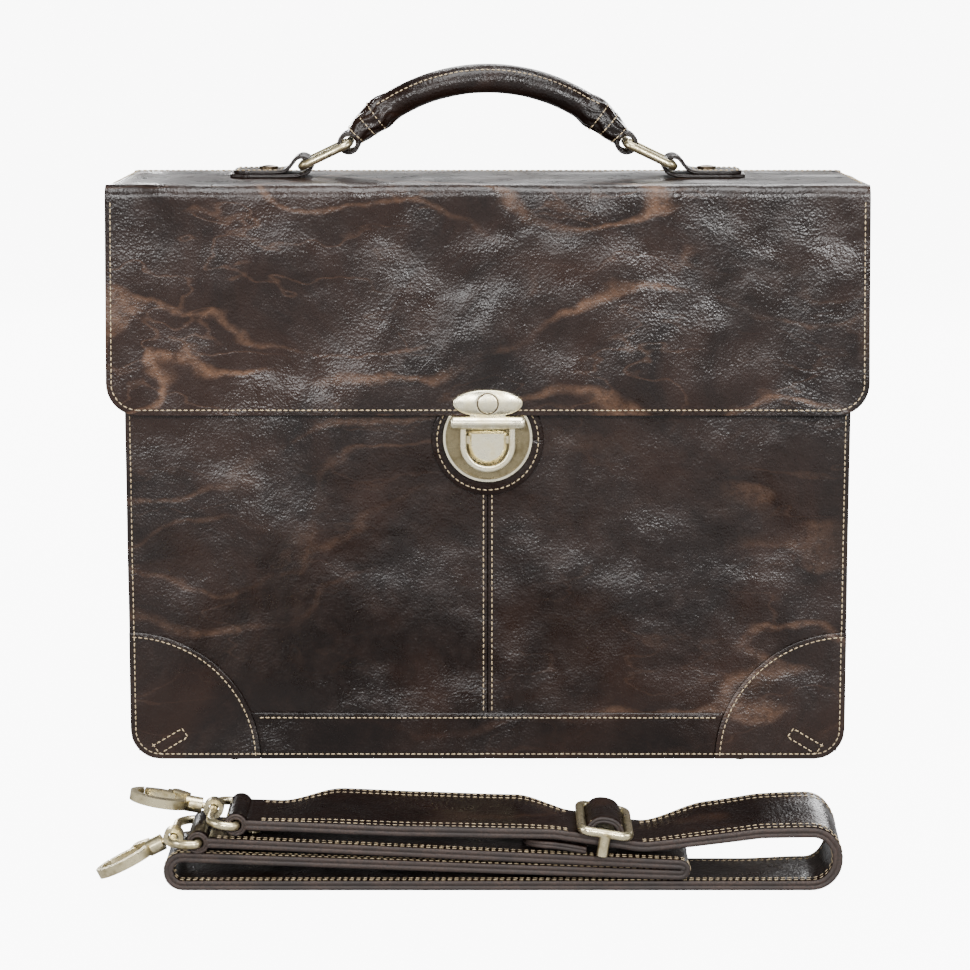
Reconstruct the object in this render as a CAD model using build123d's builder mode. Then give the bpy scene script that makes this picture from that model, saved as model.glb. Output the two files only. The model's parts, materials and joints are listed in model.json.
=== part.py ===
from build123d import *
from math import asin, atan2, cos, degrees, radians, sin, sqrt
import os

# A leather briefcase: a gusseted body on four studs, a flap that turns back over the top,
# a push lock, a padded handle on two rings, and a shoulder strap that lies folded in front.
# +X runs along the width, the front faces -Y, and the floor is Z = 0 under the body's centre.

os.makedirs("parts", exist_ok=True)

# ---------------------------------------------------------------- driving dimensions, mm
body_width = 375.0
body_depth = 100.0
body_top = 302.0
foot_height = 4.0
corner_radius = 16.0
leather = 2.0
lining = 0.8
fit_gap = 0.3          # air between soft layers of different make
running_gap = 0.05     # radial air in a turning fit

flap_width = 393.0
flap_edge_z = 187.5    # lower edge of the flap
flap_leather = 2.2
flap_gap = 3.5         # from the front panel to the flap's lining

lock_z = 175.5         # centre of the round lock base
hasp_pin_z = 184.0

handle_pivot_x = 97.0  # ring bar in the tab
handle_end_x = 72.5    # ring bar in the handle
handle_end_z = 324.0
handle_crown_z = 357.3 # centreline at the middle of the grip
grip_radius = 7.5

strap_width = 38.0
strap_thick = 4.5
strap_y = -253.0       # centreline of the folded strap

# ---------------------------------------------------------------- levels worked out from them
half_w = body_width / 2
half_d = body_depth / 2
front_in = -half_d + leather
flap_back_y = -half_d - flap_gap - lining          # where the flap's leather meets its lining
flap_face_y = flap_back_y - flap_leather
flap_low_z = body_top + 1.0                        # underside of the flap's top lining
flap_mid_z = flap_low_z + lining
flap_top_z = flap_mid_z + flap_leather


def front_plane(y):
    """The plane at depth y that looks to the front: its extrusions grow towards -Y."""
    return Plane.XZ.offset(-y)


def finish(piece, name):
    piece.part.label = name
    export_step(piece.part, f"parts/{name}.step")
    return piece


def bag_outline(inset, top):
    """The body's front outline, drawn in by an inset, with round lower corners."""
    low = foot_height + inset
    with Locations((0, (low + top) / 2)):
        Rectangle(body_width - 2 * inset, top - low)
    fillet(vertices().group_by(Axis.Y)[0], corner_radius - inset)


def boxed(x, y, z, mode=Mode.ADD):
    """A box between three pairs of limits."""
    centre = ((x[0] + x[1]) / 2, (y[0] + y[1]) / 2, (z[0] + z[1]) / 2)
    with Locations(centre):
        Box(x[1] - x[0], y[1] - y[0], z[1] - z[0], mode=mode)


# ---------------------------------------------------------------- feet and base
foot_places = [(x, y) for x in (-134.0, 134.0) for y in (-34.0, 34.0)]
foot_shaft = 1.6
board_low = foot_height + leather + fit_gap + lining + fit_gap
board_high = board_low + 2.5

with BuildPart() as base_feet:
    with BuildSketch(Plane.XY):
        with Locations(*foot_places):
            Circle(3.2)
    extrude(amount=foot_height)
    with BuildSketch(Plane.XY.offset(foot_height - 1.4)):
        with Locations(*foot_places):
            Circle(6.0)
    extrude(amount=1.4)
    with BuildSketch(Plane.XY.offset(foot_height)):
        with Locations(*foot_places):
            Circle(foot_shaft)
    extrude(amount=board_high + 3.0 - foot_height)
finish(base_feet, "base_feet")

with BuildPart() as feet_nuts:
    with BuildSketch(Plane.XY.offset(board_high)):
        with Locations(*foot_places):
            RegularPolygon(radius=4.0, side_count=6)
            Circle(foot_shaft + running_gap, mode=Mode.SUBTRACT)
    extrude(amount=2.4)
finish(feet_nuts, "feet_nuts")


def foot_holes():
    with Locations(*[(x, y, board_low) for x, y in foot_places]):
        Cylinder(foot_shaft + running_gap, 30, mode=Mode.SUBTRACT)


with BuildPart() as base_board:
    with BuildSketch(Plane.XY.offset(board_low)):
        RectangleRounded(body_width - 40, body_depth - 12, 8)
    extrude(amount=board_high - board_low)
    foot_holes()
finish(base_board, "base_board")

# ---------------------------------------------------------------- gusset: two sides and a bottom
gusset_split_x = half_w - 27.5


def gusset(x_low, x_high):
    """The part of the U-shaped gusset strip between two widths."""
    with BuildPart() as strip:
        with BuildSketch(front_plane(half_d - leather)):
            bag_outline(0, body_top)
        extrude(amount=body_depth - 2 * leather)
        with BuildSketch(front_plane(half_d - leather)):
            bag_outline(leather, body_top + 1)
        extrude(amount=body_depth - 2 * leather, mode=Mode.SUBTRACT)
        middle = ((x_low + x_high) / 2, 0, body_top / 2)
        with Locations(middle):
            Box(x_high - x_low, body_depth, 2 * body_top, mode=Mode.INTERSECT)
        foot_holes()
    return strip


finish(gusset(-half_w, -gusset_split_x), "side_gusset_left")
finish(gusset(gusset_split_x, half_w), "side_gusset_right")
finish(gusset(-gusset_split_x, gusset_split_x), "bottom_gusset")

# ---------------------------------------------------------------- front and back panels
cap_half_x = 13.0      # the lock's cap behind the panel
cap_low = 158.0
cap_high = 185.0


def cap_window(margin):
    """The cut that lets the lock's cap through a layer."""
    with Locations((0, (cap_low + cap_high) / 2)):
        Rectangle(2 * (cap_half_x + margin), cap_high - cap_low + 2 * margin, mode=Mode.SUBTRACT)


def front_half(side):
    with BuildPart() as half:
        with BuildSketch(front_plane(front_in)):
            bag_outline(0, body_top)
            with Locations((side * half_w / 2, body_top / 2)):
                Rectangle(half_w, 2 * body_top, mode=Mode.INTERSECT)
            cap_window(fit_gap)
        extrude(amount=leather)
    return half


finish(front_half(-1), "front_panel_left")
finish(front_half(1), "front_panel_right")

with BuildPart() as back_panel:
    with BuildSketch(front_plane(half_d)):
        bag_outline(0, body_top)
    extrude(amount=leather)
finish(back_panel, "back_panel")

# ---------------------------------------------------------------- overlays: base strips, corner patches
patch_radius = 68.0
overlay = 1.5
strip_top = 29.0


def corner_patches(y):
    """The two quarter-round patches over the lower corners of one face."""
    with BuildPart() as patches:
        with BuildSketch(front_plane(y)) as corners:
            with Locations((-half_w, foot_height), (half_w, foot_height)):
                Circle(patch_radius)
            with BuildSketch(Plane.XY, mode=Mode.INTERSECT):
                bag_outline(0, body_top)
        extrude(corners.sketch, amount=overlay)
    return patches


def base_strip(y):
    with BuildPart() as strip:
        with BuildSketch(front_plane(y)):
            bag_outline(0, strip_top)
            with Locations((-half_w, foot_height), (half_w, foot_height)):
                Circle(patch_radius + running_gap, mode=Mode.SUBTRACT)
        extrude(amount=overlay)
    return strip


for face, y in (("front", -half_d), ("back", half_d + overlay)):
    finish(base_strip(y), f"base_strip_{face}")
    finish(corner_patches(y), f"corner_patches_{face}")

with BuildPart() as lock_patch:
    with BuildSketch(front_plane(-half_d)):
        with Locations((0, lock_z - 1.5)):
            Circle(29.0)
        with Locations((0, lock_z + 27)):
            Rectangle(44, 38)
        cap_window(fit_gap)
    extrude(amount=overlay)
finish(lock_patch, "lock_patch")

# ---------------------------------------------------------------- inside: lining, divider, pockets
lining_gap = leather + fit_gap
lining_top = body_top - 4

with BuildPart() as body_lining:
    with BuildSketch(front_plane(half_d - lining_gap)):
        bag_outline(lining_gap, lining_top)
    extrude(amount=body_depth - 2 * lining_gap)
    with BuildSketch(front_plane(half_d - lining_gap - lining)):
        bag_outline(lining_gap + lining, lining_top + 1)
    extrude(amount=body_depth - 2 * (lining_gap + lining), mode=Mode.SUBTRACT)
    boxed((-cap_half_x - 1, cap_half_x + 1), (-half_d, -40), (cap_low - 1, cap_high + 1), Mode.SUBTRACT)
    foot_holes()
finish(body_lining, "body_lining")

divider_y = (6.0, 9.0)
divider_top = 265.0
divider_half_x = half_w - lining_gap - lining - fit_gap

with BuildPart() as divider:
    with BuildSketch(front_plane(divider_y[1])):
        with Locations((0, (board_high + fit_gap + divider_top) / 2)):
            Rectangle(2 * divider_half_x, divider_top - board_high - fit_gap)
        fillet(vertices().group_by(Axis.Y)[0], corner_radius)
    extrude(amount=divider_y[1] - divider_y[0])
finish(divider, "divider")

with BuildPart() as slip_pocket:
    boxed((-120, 120), (divider_y[0] - 1, divider_y[0]), (30, 170))
finish(slip_pocket, "slip_pocket")

pocket_back = half_d - lining_gap - lining
zip_y = pocket_back - 1.0
zip_z = 246.0
zip_travel = 195.0

with BuildPart() as zip_pocket:
    boxed((-135, 135), (zip_y, pocket_back), (120, 262))
finish(zip_pocket, "zip_pocket")

with BuildPart() as zip_chain:
    boxed((-118, 118), (zip_y - 0.8, zip_y), (zip_z - 10, zip_z + 10))
    boxed((-112, 112), (zip_y - 1.8, zip_y - 0.8), (zip_z - 2, zip_z + 2))
finish(zip_chain, "zip_chain")

slider_x = -(zip_travel + 11) / 2
with BuildPart() as zip_slider:
    boxed((slider_x - 5.5, slider_x + 5.5), (zip_y - 3.9, zip_y - 1.9), (zip_z - 4.5, zip_z + 4.5))
    fillet(edges().filter_by(Axis.Y), 1.5)
    boxed((slider_x - 1, slider_x + 1), (zip_y - 6.5, zip_y - 3.9), (zip_z - 1.5, zip_z + 1.8))
finish(zip_slider, "zip_slider")

with BuildPart() as zip_pull:
    with BuildSketch(front_plane(zip_y - 4.3)):
        with Locations((slider_x, zip_z - 9.5)):
            RectangleRounded(7, 24, 2.5)
        with Locations((slider_x, zip_z)):
            Rectangle(3, 4.2, mode=Mode.SUBTRACT)
    extrude(amount=1.2)
finish(zip_pull, "zip_pull")

# ---------------------------------------------------------------- push lock on the body
disc_radius = 23.0
disc_back_y = -half_d - overlay
disc_face_y = disc_back_y - 2.0
rim_face_y = disc_face_y - 0.9
disc_cut_z = flap_edge_z - 0.3
button_radius = 9.8
button_centre_z = 172.4
button_top_z = 179.8
button_face_y = -58.0
button_travel = 2.5
catch_z = (173.0, 177.0)
catch_y = (-56.9, -55.3)
catch_tip_x = 10.9


def button_outline(grow):
    """A D with its flat side up."""
    radius = button_radius + grow
    top = button_top_z + grow
    with Locations((0, button_centre_z)):
        Circle(radius)
    with Locations((0, (button_centre_z + top) / 2)):
        Rectangle(2 * radius, top - button_centre_z)
    with Locations((0, top + radius)):
        Rectangle(4 * radius, 2 * radius, mode=Mode.SUBTRACT)
    fillet(vertices().group_by(Axis.Y)[-1], 2.0)


with BuildPart() as lock_base:
    with BuildSketch(front_plane(disc_back_y)):
        with Locations((0, lock_z)):
            Circle(disc_radius)
    extrude(amount=disc_back_y - disc_face_y)
    with BuildSketch(front_plane(disc_face_y)):
        with Locations((0, lock_z)):
            Circle(disc_radius)
            Circle(disc_radius - 1.7, mode=Mode.SUBTRACT)
    extrude(amount=disc_face_y - rim_face_y)
    boxed((-30, 30), (-60, -40), (disc_cut_z, 220), Mode.SUBTRACT)
    with BuildSketch(front_plane(disc_back_y)):
        button_outline(running_gap)
    extrude(amount=5, mode=Mode.SUBTRACT)
finish(lock_base, "lock_base")

cap_back_y = -43.0
with BuildPart() as lock_cap:
    boxed((-cap_half_x, cap_half_x), (disc_back_y, cap_back_y), (cap_low, cap_high))
    boxed((-cap_half_x + 1, cap_half_x - 1), (disc_back_y - 1, cap_back_y - 1),
          (cap_low + 1, cap_high - 1), Mode.SUBTRACT)
finish(lock_cap, "lock_cap")

with BuildPart() as lock_back_plate:
    with BuildSketch(front_plane(-half_d + lining_gap + lining + 0.8)):
        with Locations((0, (cap_low + cap_high) / 2)):
            RectangleRounded(44, 46, 5)
        cap_window(running_gap)
    extrude(amount=0.8)
finish(lock_back_plate, "lock_back_plate")

flange_back_y = disc_back_y + 1.25
with BuildPart() as lock_button:
    with BuildSketch(front_plane(flange_back_y)):
        button_outline(0)
    extrude(amount=flange_back_y - button_face_y)
    chamfer(faces().sort_by(Axis.Y)[0].edges(), 1.6)
    with BuildSketch(front_plane(flange_back_y)):
        button_outline(1.2)
    extrude(amount=1.2)
    boxed((-30, 30), (catch_y[0] - running_gap, catch_y[1] + running_gap),
          (catch_z[0] - running_gap, catch_z[1] + running_gap), Mode.SUBTRACT)
finish(lock_button, "lock_button")

for side, name in ((-1, "lock_catch_left"), (1, "lock_catch_right")):
    with BuildPart() as catch:
        boxed(sorted((side * 5.0, side * catch_tip_x)), catch_y, catch_z)
    finish(catch, name)

spring_front = flange_back_y + 0.05
with BuildPart() as lock_spring:
    with BuildSketch(Plane.YZ.offset(-4)):
        with BuildLine():
            Polyline((spring_front, 171), (spring_front + 0.5, 171), (cap_back_y - 1.6, 178.5),
                     (cap_back_y - 1.6, 163.5), (spring_front + 0.5, 170.4), (spring_front, 170.4),
                     (cap_back_y - 1.05, 162.0), (cap_back_y - 1.05, 180.0), (spring_front, 171))
        make_face()
    extrude(amount=8)
finish(lock_spring, "lock_spring")

# ---------------------------------------------------------------- flap
flap_top_half = flap_width / 2 - 1.5
flap_back_half = 190.0
plate_z = 194.0
rivet_radius = 2.0
flap_rear_y = half_d - 1.5
flap_fold_y = -half_d - 1.5
tab_rivet_x = 115.0


def drop_outline(inset):
    """The hanging front of the flap, a little wider at its lower edge."""
    low = flap_edge_z + inset
    with BuildLine() as edge:
        Polyline((-flap_top_half + inset, body_top - 1), (-flap_width / 2 + inset, low),
                 (flap_width / 2 - inset, low), (flap_top_half - inset, body_top - 1), close=True)
    make_face(edge.edges())
    fillet(vertices().group_by(Axis.Y)[0], 17.0)
    with Locations((0, plate_z)):
        Circle(rivet_radius + running_gap, mode=Mode.SUBTRACT)


with BuildPart() as flap_front:
    with BuildSketch(front_plane(flap_back_y)):
        drop_outline(0)
    extrude(amount=flap_leather)
finish(flap_front, "flap_front")

with BuildPart() as flap_front_lining:
    with BuildSketch(front_plane(flap_back_y + lining)):
        drop_outline(1.2)
    extrude(amount=lining)
finish(flap_front_lining, "flap_front_lining")


def lid_outline(inset):
    """The flap where it lies on the body's top, a little narrower at the back."""
    with BuildLine() as edge:
        Polyline((-flap_top_half + inset, flap_fold_y), (flap_top_half - inset, flap_fold_y),
                 (flap_back_half - inset, flap_rear_y), (-flap_back_half + inset, flap_rear_y), close=True)
    make_face(edge.edges())
    with Locations((-tab_rivet_x, 0), (tab_rivet_x, 0)):
        Circle(rivet_radius + running_gap, mode=Mode.SUBTRACT)


with BuildPart() as flap_top:
    with BuildSketch(Plane.XY.offset(flap_mid_z)):
        lid_outline(0)
    extrude(amount=flap_leather)
finish(flap_top, "flap_top")

with BuildPart() as flap_top_lining:
    with BuildSketch(Plane.XY.offset(flap_low_z)):
        lid_outline(1.2)
    extrude(amount=lining)
finish(flap_top_lining, "flap_top_lining")

with BuildPart() as flap_back_strip:
    with BuildSketch(front_plane(half_d + flap_leather)):
        with BuildLine():
            Polyline((-flap_back_half + 1, body_top - 1), (-half_w + 1, 250), (half_w - 1, 250),
                     (flap_back_half - 1, body_top - 1), close=True)
        make_face()
        fillet(vertices().group_by(Axis.Y)[0], 10)
    extrude(amount=flap_leather)
finish(flap_back_strip, "flap_back_strip")

# ---------------------------------------------------------------- hasp on the flap
hasp_pin_y = -58.0
bar_radius = 3.4
neck_radius = 2.2
hasp_half_x = 14.3
hasp_wall = 3.2
bar_half_x = 19.5
eye_x = (hasp_half_x - 3.6, hasp_half_x)


def along_x(radius, x_low, x_high, y, z, mode=Mode.ADD):
    with Locations(((x_low + x_high) / 2, y, z)):
        Cylinder(radius, x_high - x_low, rotation=(0, 90, 0), mode=mode)


with BuildPart() as hasp_plate:
    with BuildSketch(front_plane(flap_face_y)):
        with Locations((0, plate_z)):
            Ellipse(18.0, 7.0)
    extrude(amount=2.0)
    fillet(faces().sort_by(Axis.Y)[0].edges(), 0.8)
    boxed((-9, 9), (flap_face_y - 1.9, flap_face_y), (hasp_pin_z + 1.2, flap_edge_z + 2))
    along_x(bar_radius, -eye_x[0] + 0.1, eye_x[0] - 0.1, hasp_pin_y, hasp_pin_z)
    along_x(neck_radius, -hasp_half_x - 1, hasp_half_x + 1, hasp_pin_y, hasp_pin_z)
    for side in (-1, 1):
        end = sorted((side * (hasp_half_x + 0.1), side * bar_half_x))
        along_x(bar_radius, end[0], end[1], hasp_pin_y, hasp_pin_z)
    fillet(faces().group_by(Axis.X)[0].edges() + faces().group_by(Axis.X)[-1].edges(), 2.2)
    with Locations((0, flap_face_y, plate_z)):
        Cylinder(rivet_radius + running_gap, 8, rotation=(90, 0, 0), mode=Mode.SUBTRACT)
    with Locations((0, flap_face_y - 1.5, plate_z)):
        Cylinder(5.4, 1.0, rotation=(90, 0, 0), mode=Mode.SUBTRACT)
finish(hasp_plate, "hasp_plate")

with BuildPart() as hasp_back_plate:
    with BuildSketch(front_plane(flap_back_y + lining + 0.9)):
        with Locations((0, plate_z + 0.6)):
            Ellipse(16.5, 6.0)
        with Locations((0, plate_z)):
            Circle(rivet_radius + running_gap, mode=Mode.SUBTRACT)
    extrude(amount=0.9)
finish(hasp_back_plate, "hasp_back_plate")

rivet_tail_y = flap_back_y + lining + 0.9
with BuildPart() as hasp_rivet:
    with BuildSketch(front_plane(rivet_tail_y)):
        with Locations((0, plate_z)):
            Circle(rivet_radius)
    extrude(amount=rivet_tail_y - (flap_face_y - 1.0))
    with BuildSketch(front_plane(flap_face_y - 1.0)):
        with Locations((0, plate_z)):
            Circle(5.2)
    extrude(amount=1.2)
finish(hasp_rivet, "hasp_rivet")

hasp_y = (-58.4, -55.0)
with BuildPart() as hasp:
    with BuildSketch(front_plane(hasp_y[1])):
        with Locations((0, button_centre_z)):
            Circle(hasp_half_x)
        with Locations((0, (button_centre_z + hasp_pin_z) / 2)):
            Rectangle(2 * hasp_half_x, hasp_pin_z - button_centre_z)
        with Locations((0, button_centre_z)):
            Circle(hasp_half_x - hasp_wall, mode=Mode.SUBTRACT)
        with Locations((0, button_centre_z + 10)):
            Rectangle(2 * (hasp_half_x - hasp_wall), 20, mode=Mode.SUBTRACT)
    extrude(amount=hasp_y[1] - hasp_y[0])
    fillet(faces().sort_by(Axis.Y)[0].edges(), 0.9)
    for side in (-1, 1):
        low, high = sorted((side * eye_x[0], side * eye_x[1]))
        along_x(bar_radius, low, high, hasp_pin_y, hasp_pin_z)
        along_x(neck_radius + running_gap, low - 1, high + 1, hasp_pin_y, hasp_pin_z, Mode.SUBTRACT)
        boxed(sorted((side * 10, side * 11.9)), (hasp_y[0] + 1.1, hasp_y[1] + 1),
              (catch_z[0] - 0.4, catch_z[1] + 0.4), Mode.SUBTRACT)
finish(hasp, "hasp")

# ---------------------------------------------------------------- handle, its rings and tabs
tab_ring_radius = 6.3
pivot_z = flap_top_z + tab_ring_radius
wire = 2.1
tab_half_y = 13.0
ring_dx = handle_pivot_x - handle_end_x
ring_dz = handle_end_z - pivot_z
ring_length = sqrt(ring_dx ** 2 + ring_dz ** 2)
ring_tilt = degrees(atan2(ring_dz, ring_dx))
rise = handle_crown_z - handle_end_z
arch_radius = (handle_end_x ** 2 + rise ** 2) / (2 * rise)
arch_z = handle_crown_z - arch_radius
end_angle = degrees(asin(handle_end_x / arch_radius))
grip_angle = 36.0
end_half_y = 11.0


def arch_point(angle, radius=arch_radius):
    """A point on the arch, at an angle from the crown, positive towards +X."""
    return (radius * sin(radians(angle)), arch_z + radius * cos(radians(angle)))


def grip_section(angle):
    """The plane across the arch at an angle, with its x towards the outside."""
    x, z = arch_point(angle)
    out = (sin(radians(angle)), 0, cos(radians(angle)))
    along = (cos(radians(angle)), 0, -sin(radians(angle)))
    return Plane(origin=(x, 0, z), x_dir=out, z_dir=along)


def bent_rod(outer, inner):
    with BuildPart() as rod:
        with BuildSketch(grip_section(-grip_angle)):
            Circle(outer)
            if inner:
                Circle(inner, mode=Mode.SUBTRACT)
        revolve(axis=Axis((0, 0, arch_z), (0, 1, 0)), revolution_arc=2 * grip_angle)
    return rod


finish(bent_rod(grip_radius, 4.5), "handle_grip")
finish(bent_rod(4.45, 0), "handle_core")


def handle_end(side):
    """The flattened leather end on one side, with the loop for its ring."""
    sweep_angle = side * (end_angle - grip_angle + 6)
    spine = CenterArc((0, arch_z), arch_radius, 90 - side * end_angle, sweep_angle, mode=Mode.PRIVATE)
    with BuildPart() as end:
        with BuildSketch(front_plane(end_half_y)):
            SlotArc(spine, 12.0)
            with Locations(arch_point(side * end_angle)):
                Circle(3.5, mode=Mode.SUBTRACT)
        extrude(amount=2 * end_half_y)
        split(bisect_by=grip_section(side * grip_angle), keep=Keep.TOP if side > 0 else Keep.BOTTOM)
    return end


left_end = handle_end(-1)
right_end = handle_end(1)
with BuildPart() as handle_ends:
    add(left_end.part)
    add(right_end.part)
finish(handle_ends, "handle_ends")


def wire_loop(plane, length, width, radii, rod):
    """A closed rounded loop of round wire, centred on a plane."""
    with BuildPart() as loop:
        with BuildLine(plane) as path:
            FilletPolyline((length / 2, -width / 2), (length / 2, width / 2),
                           (-length / 2, width / 2), (-length / 2, -width / 2),
                           radius=radii, close=True)
        with BuildSketch(Plane(origin=path.line @ 0, z_dir=path.line % 0)):
            Circle(rod)
        sweep()
    return loop


with BuildPart() as handle_tabs:
    with BuildSketch(front_plane(tab_half_y)):
        for side in (-1, 1):
            with Locations((side * (handle_pivot_x + 18), flap_top_z + 2)):
                Rectangle(36, 4)
            with Locations((side * handle_pivot_x, pivot_z)):
                Circle(tab_ring_radius)
                Circle(3.2, mode=Mode.SUBTRACT)
    extrude(amount=2 * tab_half_y)
    with Locations((-tab_rivet_x, 0, flap_top_z), (tab_rivet_x, 0, flap_top_z)):
        Cylinder(rivet_radius + running_gap, 20, mode=Mode.SUBTRACT)
finish(handle_tabs, "handle_tabs")

upwards = (Align.CENTER, Align.CENTER, Align.MIN)
with BuildPart() as tab_rivets:
    for x in (-tab_rivet_x, tab_rivet_x):
        with Locations((x, 0, flap_top_z + 4)):
            Cylinder(5.0, 1.4, align=upwards)
        with Locations((x, 0, flap_low_z - 0.8)):
            Cylinder(rivet_radius, 8, align=upwards)
            Cylinder(6.0, 0.8, align=upwards)
finish(tab_rivets, "tab_rivets")

for side, hand in ((-1, "left"), (1, "right")):
    tilt = radians(ring_tilt)
    middle = Vector(side * (handle_pivot_x + handle_end_x) / 2, 0, (pivot_z + handle_end_z) / 2)
    inwards = Vector(-side * cos(tilt), 0, sin(tilt))
    ring_plane = Plane(origin=middle, x_dir=inwards, z_dir=inwards.cross(Vector(0, 1, 0)))
    finish(wire_loop(ring_plane, ring_length, 32.2, [4.0] * 4, wire), f"handle_ring_{hand}")

# ---------------------------------------------------------------- D-rings on the side gussets
side_ring_z = 262.0
side_loop_radius = 5.0
side_wire = 1.8


with BuildPart() as side_tabs:
    with BuildSketch(front_plane(14)):
        for side in (-1, 1):
            with Locations((side * (half_w + 1.75), side_ring_z + 20)):
                Rectangle(3.5, 36)
            with Locations((side * (half_w + side_loop_radius), side_ring_z)):
                Circle(side_loop_radius)
                Circle(2.5, mode=Mode.SUBTRACT)
    extrude(amount=28)
finish(side_tabs, "side_tabs")

with BuildPart() as side_rivets:
    for side in (-1, 1):
        along_x(4.0, *sorted((side * (half_w + 3.5), side * (half_w + 4.7))), 0, side_ring_z + 24)
finish(side_rivets, "side_rivets")


def side_ring(side):
    """A D-ring hanging from its tab, with a straight bar above and a round bow below."""
    x_ring = side * (half_w + side_loop_radius)
    with BuildPart() as ring:
        with BuildLine(Plane(origin=(x_ring, 0, side_ring_z), x_dir=(0, 1, 0), z_dir=(1, 0, 0))) as path:
            FilletPolyline((17.5, 0), (17.5, -12), (8, -24), (-8, -24), (-17.5, -12), (-17.5, 0),
                           radius=[3.5, 8, 8, 8, 8, 3.5], close=True)
        with BuildSketch(Plane(origin=path.line @ 0, z_dir=path.line % 0)):
            Circle(side_wire)
        sweep()
    return ring


finish(side_ring(-1), "side_ring_left")
finish(side_ring(1), "side_ring_right")

# ---------------------------------------------------------------- shoulder strap, folded on the floor
strap_floor = strap_thick / 2
strap_front = strap_y - strap_width / 2
strap_back = strap_y + strap_width / 2
upper_eye = (-115.5, 31.0)
lower_eye = (-133.0, 22.5)
eye_outer = 5.2
eye_bore = 2.6
slope_start = (30.0, 27.0)
slope_end = (71.0, 20.5)
strap_route = [
    (-112.0, 31.0), (-40.0, 28.0), slope_start, slope_end, (125.0, 27.0), (160.4, 27.0),
    (160.4, strap_floor), (-146.6, strap_floor), (-146.6, 15.8), (90.6, 7.1), (90.6, 12.0),
    (-105.0, 21.5), (-129.5, 22.5),
]
strap_radii = [200, 30, 30, 60, 12, 12, 6.5, 6.4, 2.3, 2.3, 60]

rivet_places = [(-117.0, strap_y - 6), (-108.0, strap_y - 6)]

with BuildPart() as shoulder_strap:
    with BuildSketch(front_plane(strap_back)):
        with BuildLine() as run:
            FilletPolyline(*strap_route, radius=strap_radii)
        trace(run.line, strap_thick)
        for eye in (upper_eye, lower_eye):
            with Locations(eye):
                Circle(eye_outer)
                Circle(eye_bore, mode=Mode.SUBTRACT)
    extrude(amount=strap_width)
    with Locations(*[(x, y, 21.8) for x, y in rivet_places]):
        Cylinder(1.3, 7, mode=Mode.SUBTRACT)
finish(shoulder_strap, "shoulder_strap")

with BuildPart() as strap_rivets:
    for x, y in rivet_places:
        with Locations((x, y, 21.8)):
            Cylinder(1.25, 6.0)
        with Locations((x, y, 24.9)):
            Cylinder(3.0, 0.9)
        with Locations((x, y, 18.7)):
            Cylinder(3.0, 0.9)
finish(strap_rivets, "strap_rivets")

# ---------------------------------------------------------------- slide adjuster on the top run
run_x = slope_end[0] - slope_start[0]
run_z = slope_end[1] - slope_start[1]
glide_centre = (slope_start[0] + run_x * 0.56, slope_start[1] + run_z * 0.56)
glide_plane = Plane(origin=(glide_centre[0], strap_y, glide_centre[1]),
                    x_dir=(run_x, 0, run_z), z_dir=(-run_z, 0, run_x))
glide_rod = 2.1
glide_half_y = strap_width / 2 + glide_rod + 0.9
glide_lift = strap_thick / 2 + glide_rod + fit_gap
bar_rod = 1.6
bar_drop = strap_thick / 2 + bar_rod + fit_gap


def glide_point(x, y, z):
    """A point given along the strap, across it and off its face."""
    return glide_plane.from_local_coords(Vector(x, y, z))


glide_loop = wire_loop(glide_plane.offset(glide_lift), 22.0, 2 * glide_half_y, [4.0] * 4, glide_rod)
with BuildPart() as strap_adjuster:
    add(glide_loop.part)
    with BuildSketch(Plane(origin=glide_point(0, -glide_half_y, -bar_drop), z_dir=(0, 1, 0))):
        Circle(bar_rod)
    extrude(amount=2 * glide_half_y)
    for side in (-1, 1):
        post = Plane(origin=glide_point(0, side * glide_half_y, -bar_drop - bar_rod), z_dir=glide_plane.z_dir)
        with BuildSketch(post):
            Circle(glide_rod + 0.5)
        extrude(amount=glide_lift + bar_drop + bar_rod)
finish(strap_adjuster, "strap_adjuster")

# the strap's own end, turned round the adjuster's middle bar and sewn to itself under the run
with BuildPart() as strap_sewn_end:
    with BuildSketch(front_plane(strap_back)):
        with BuildLine() as tail:
            Polyline((16.0, 21.8), (31.0, 21.6), (45.0, 18.9))
        trace(tail.line, 3.4)
    extrude(amount=strap_width)
finish(strap_sewn_end, "strap_sewn_end")

# ---------------------------------------------------------------- trigger hooks on the strap's D-rings
d_wire = 2.0
d_length = 12.0
d_half_y = strap_width / 2 + d_wire + 0.4
d_radii = [8.0, 8.0, 2.4, 2.4]
hook_eye = 4.6
hook_half_z = 2.2
hook_neck = 3.8
frame_x = 25.0
gate_pin = (18.6, 7.6)
gate_end_x = 33.5
hooks = (
    ("upper", upper_eye, 6.0, 10.0, strap_y + 7),
    ("lower", lower_eye, 0.0, -27.0, strap_y - 7),
)


def tipped(eye, angle, y, reach=0.0):
    """A plane at a strap eye: x leads away from the strap, tipped by an angle, and y is +Y."""
    tip = radians(angle)
    start = (eye[0] - reach * cos(tip), y, eye[1] + reach * sin(tip))
    return Plane(origin=start, x_dir=(-cos(tip), 0, sin(tip)), z_dir=(-sin(tip), 0, -cos(tip)))


def rod_along(plane, start, length, radius, mode=Mode.ADD):
    """A round rod on a plane's x direction, or a bore."""
    with BuildSketch(Plane(origin=plane.from_local_coords((start, 0, 0)), z_dir=plane.x_dir)) as section:
        Circle(radius)
    extrude(section.sketch, amount=length, mode=mode)


def oval_frame():
    with Locations((frame_x, 0)):
        Ellipse(14.5, 9.5)
    with Locations((frame_x + 0.8, 0)):
        Ellipse(10.4, 5.8, mode=Mode.SUBTRACT)


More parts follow.
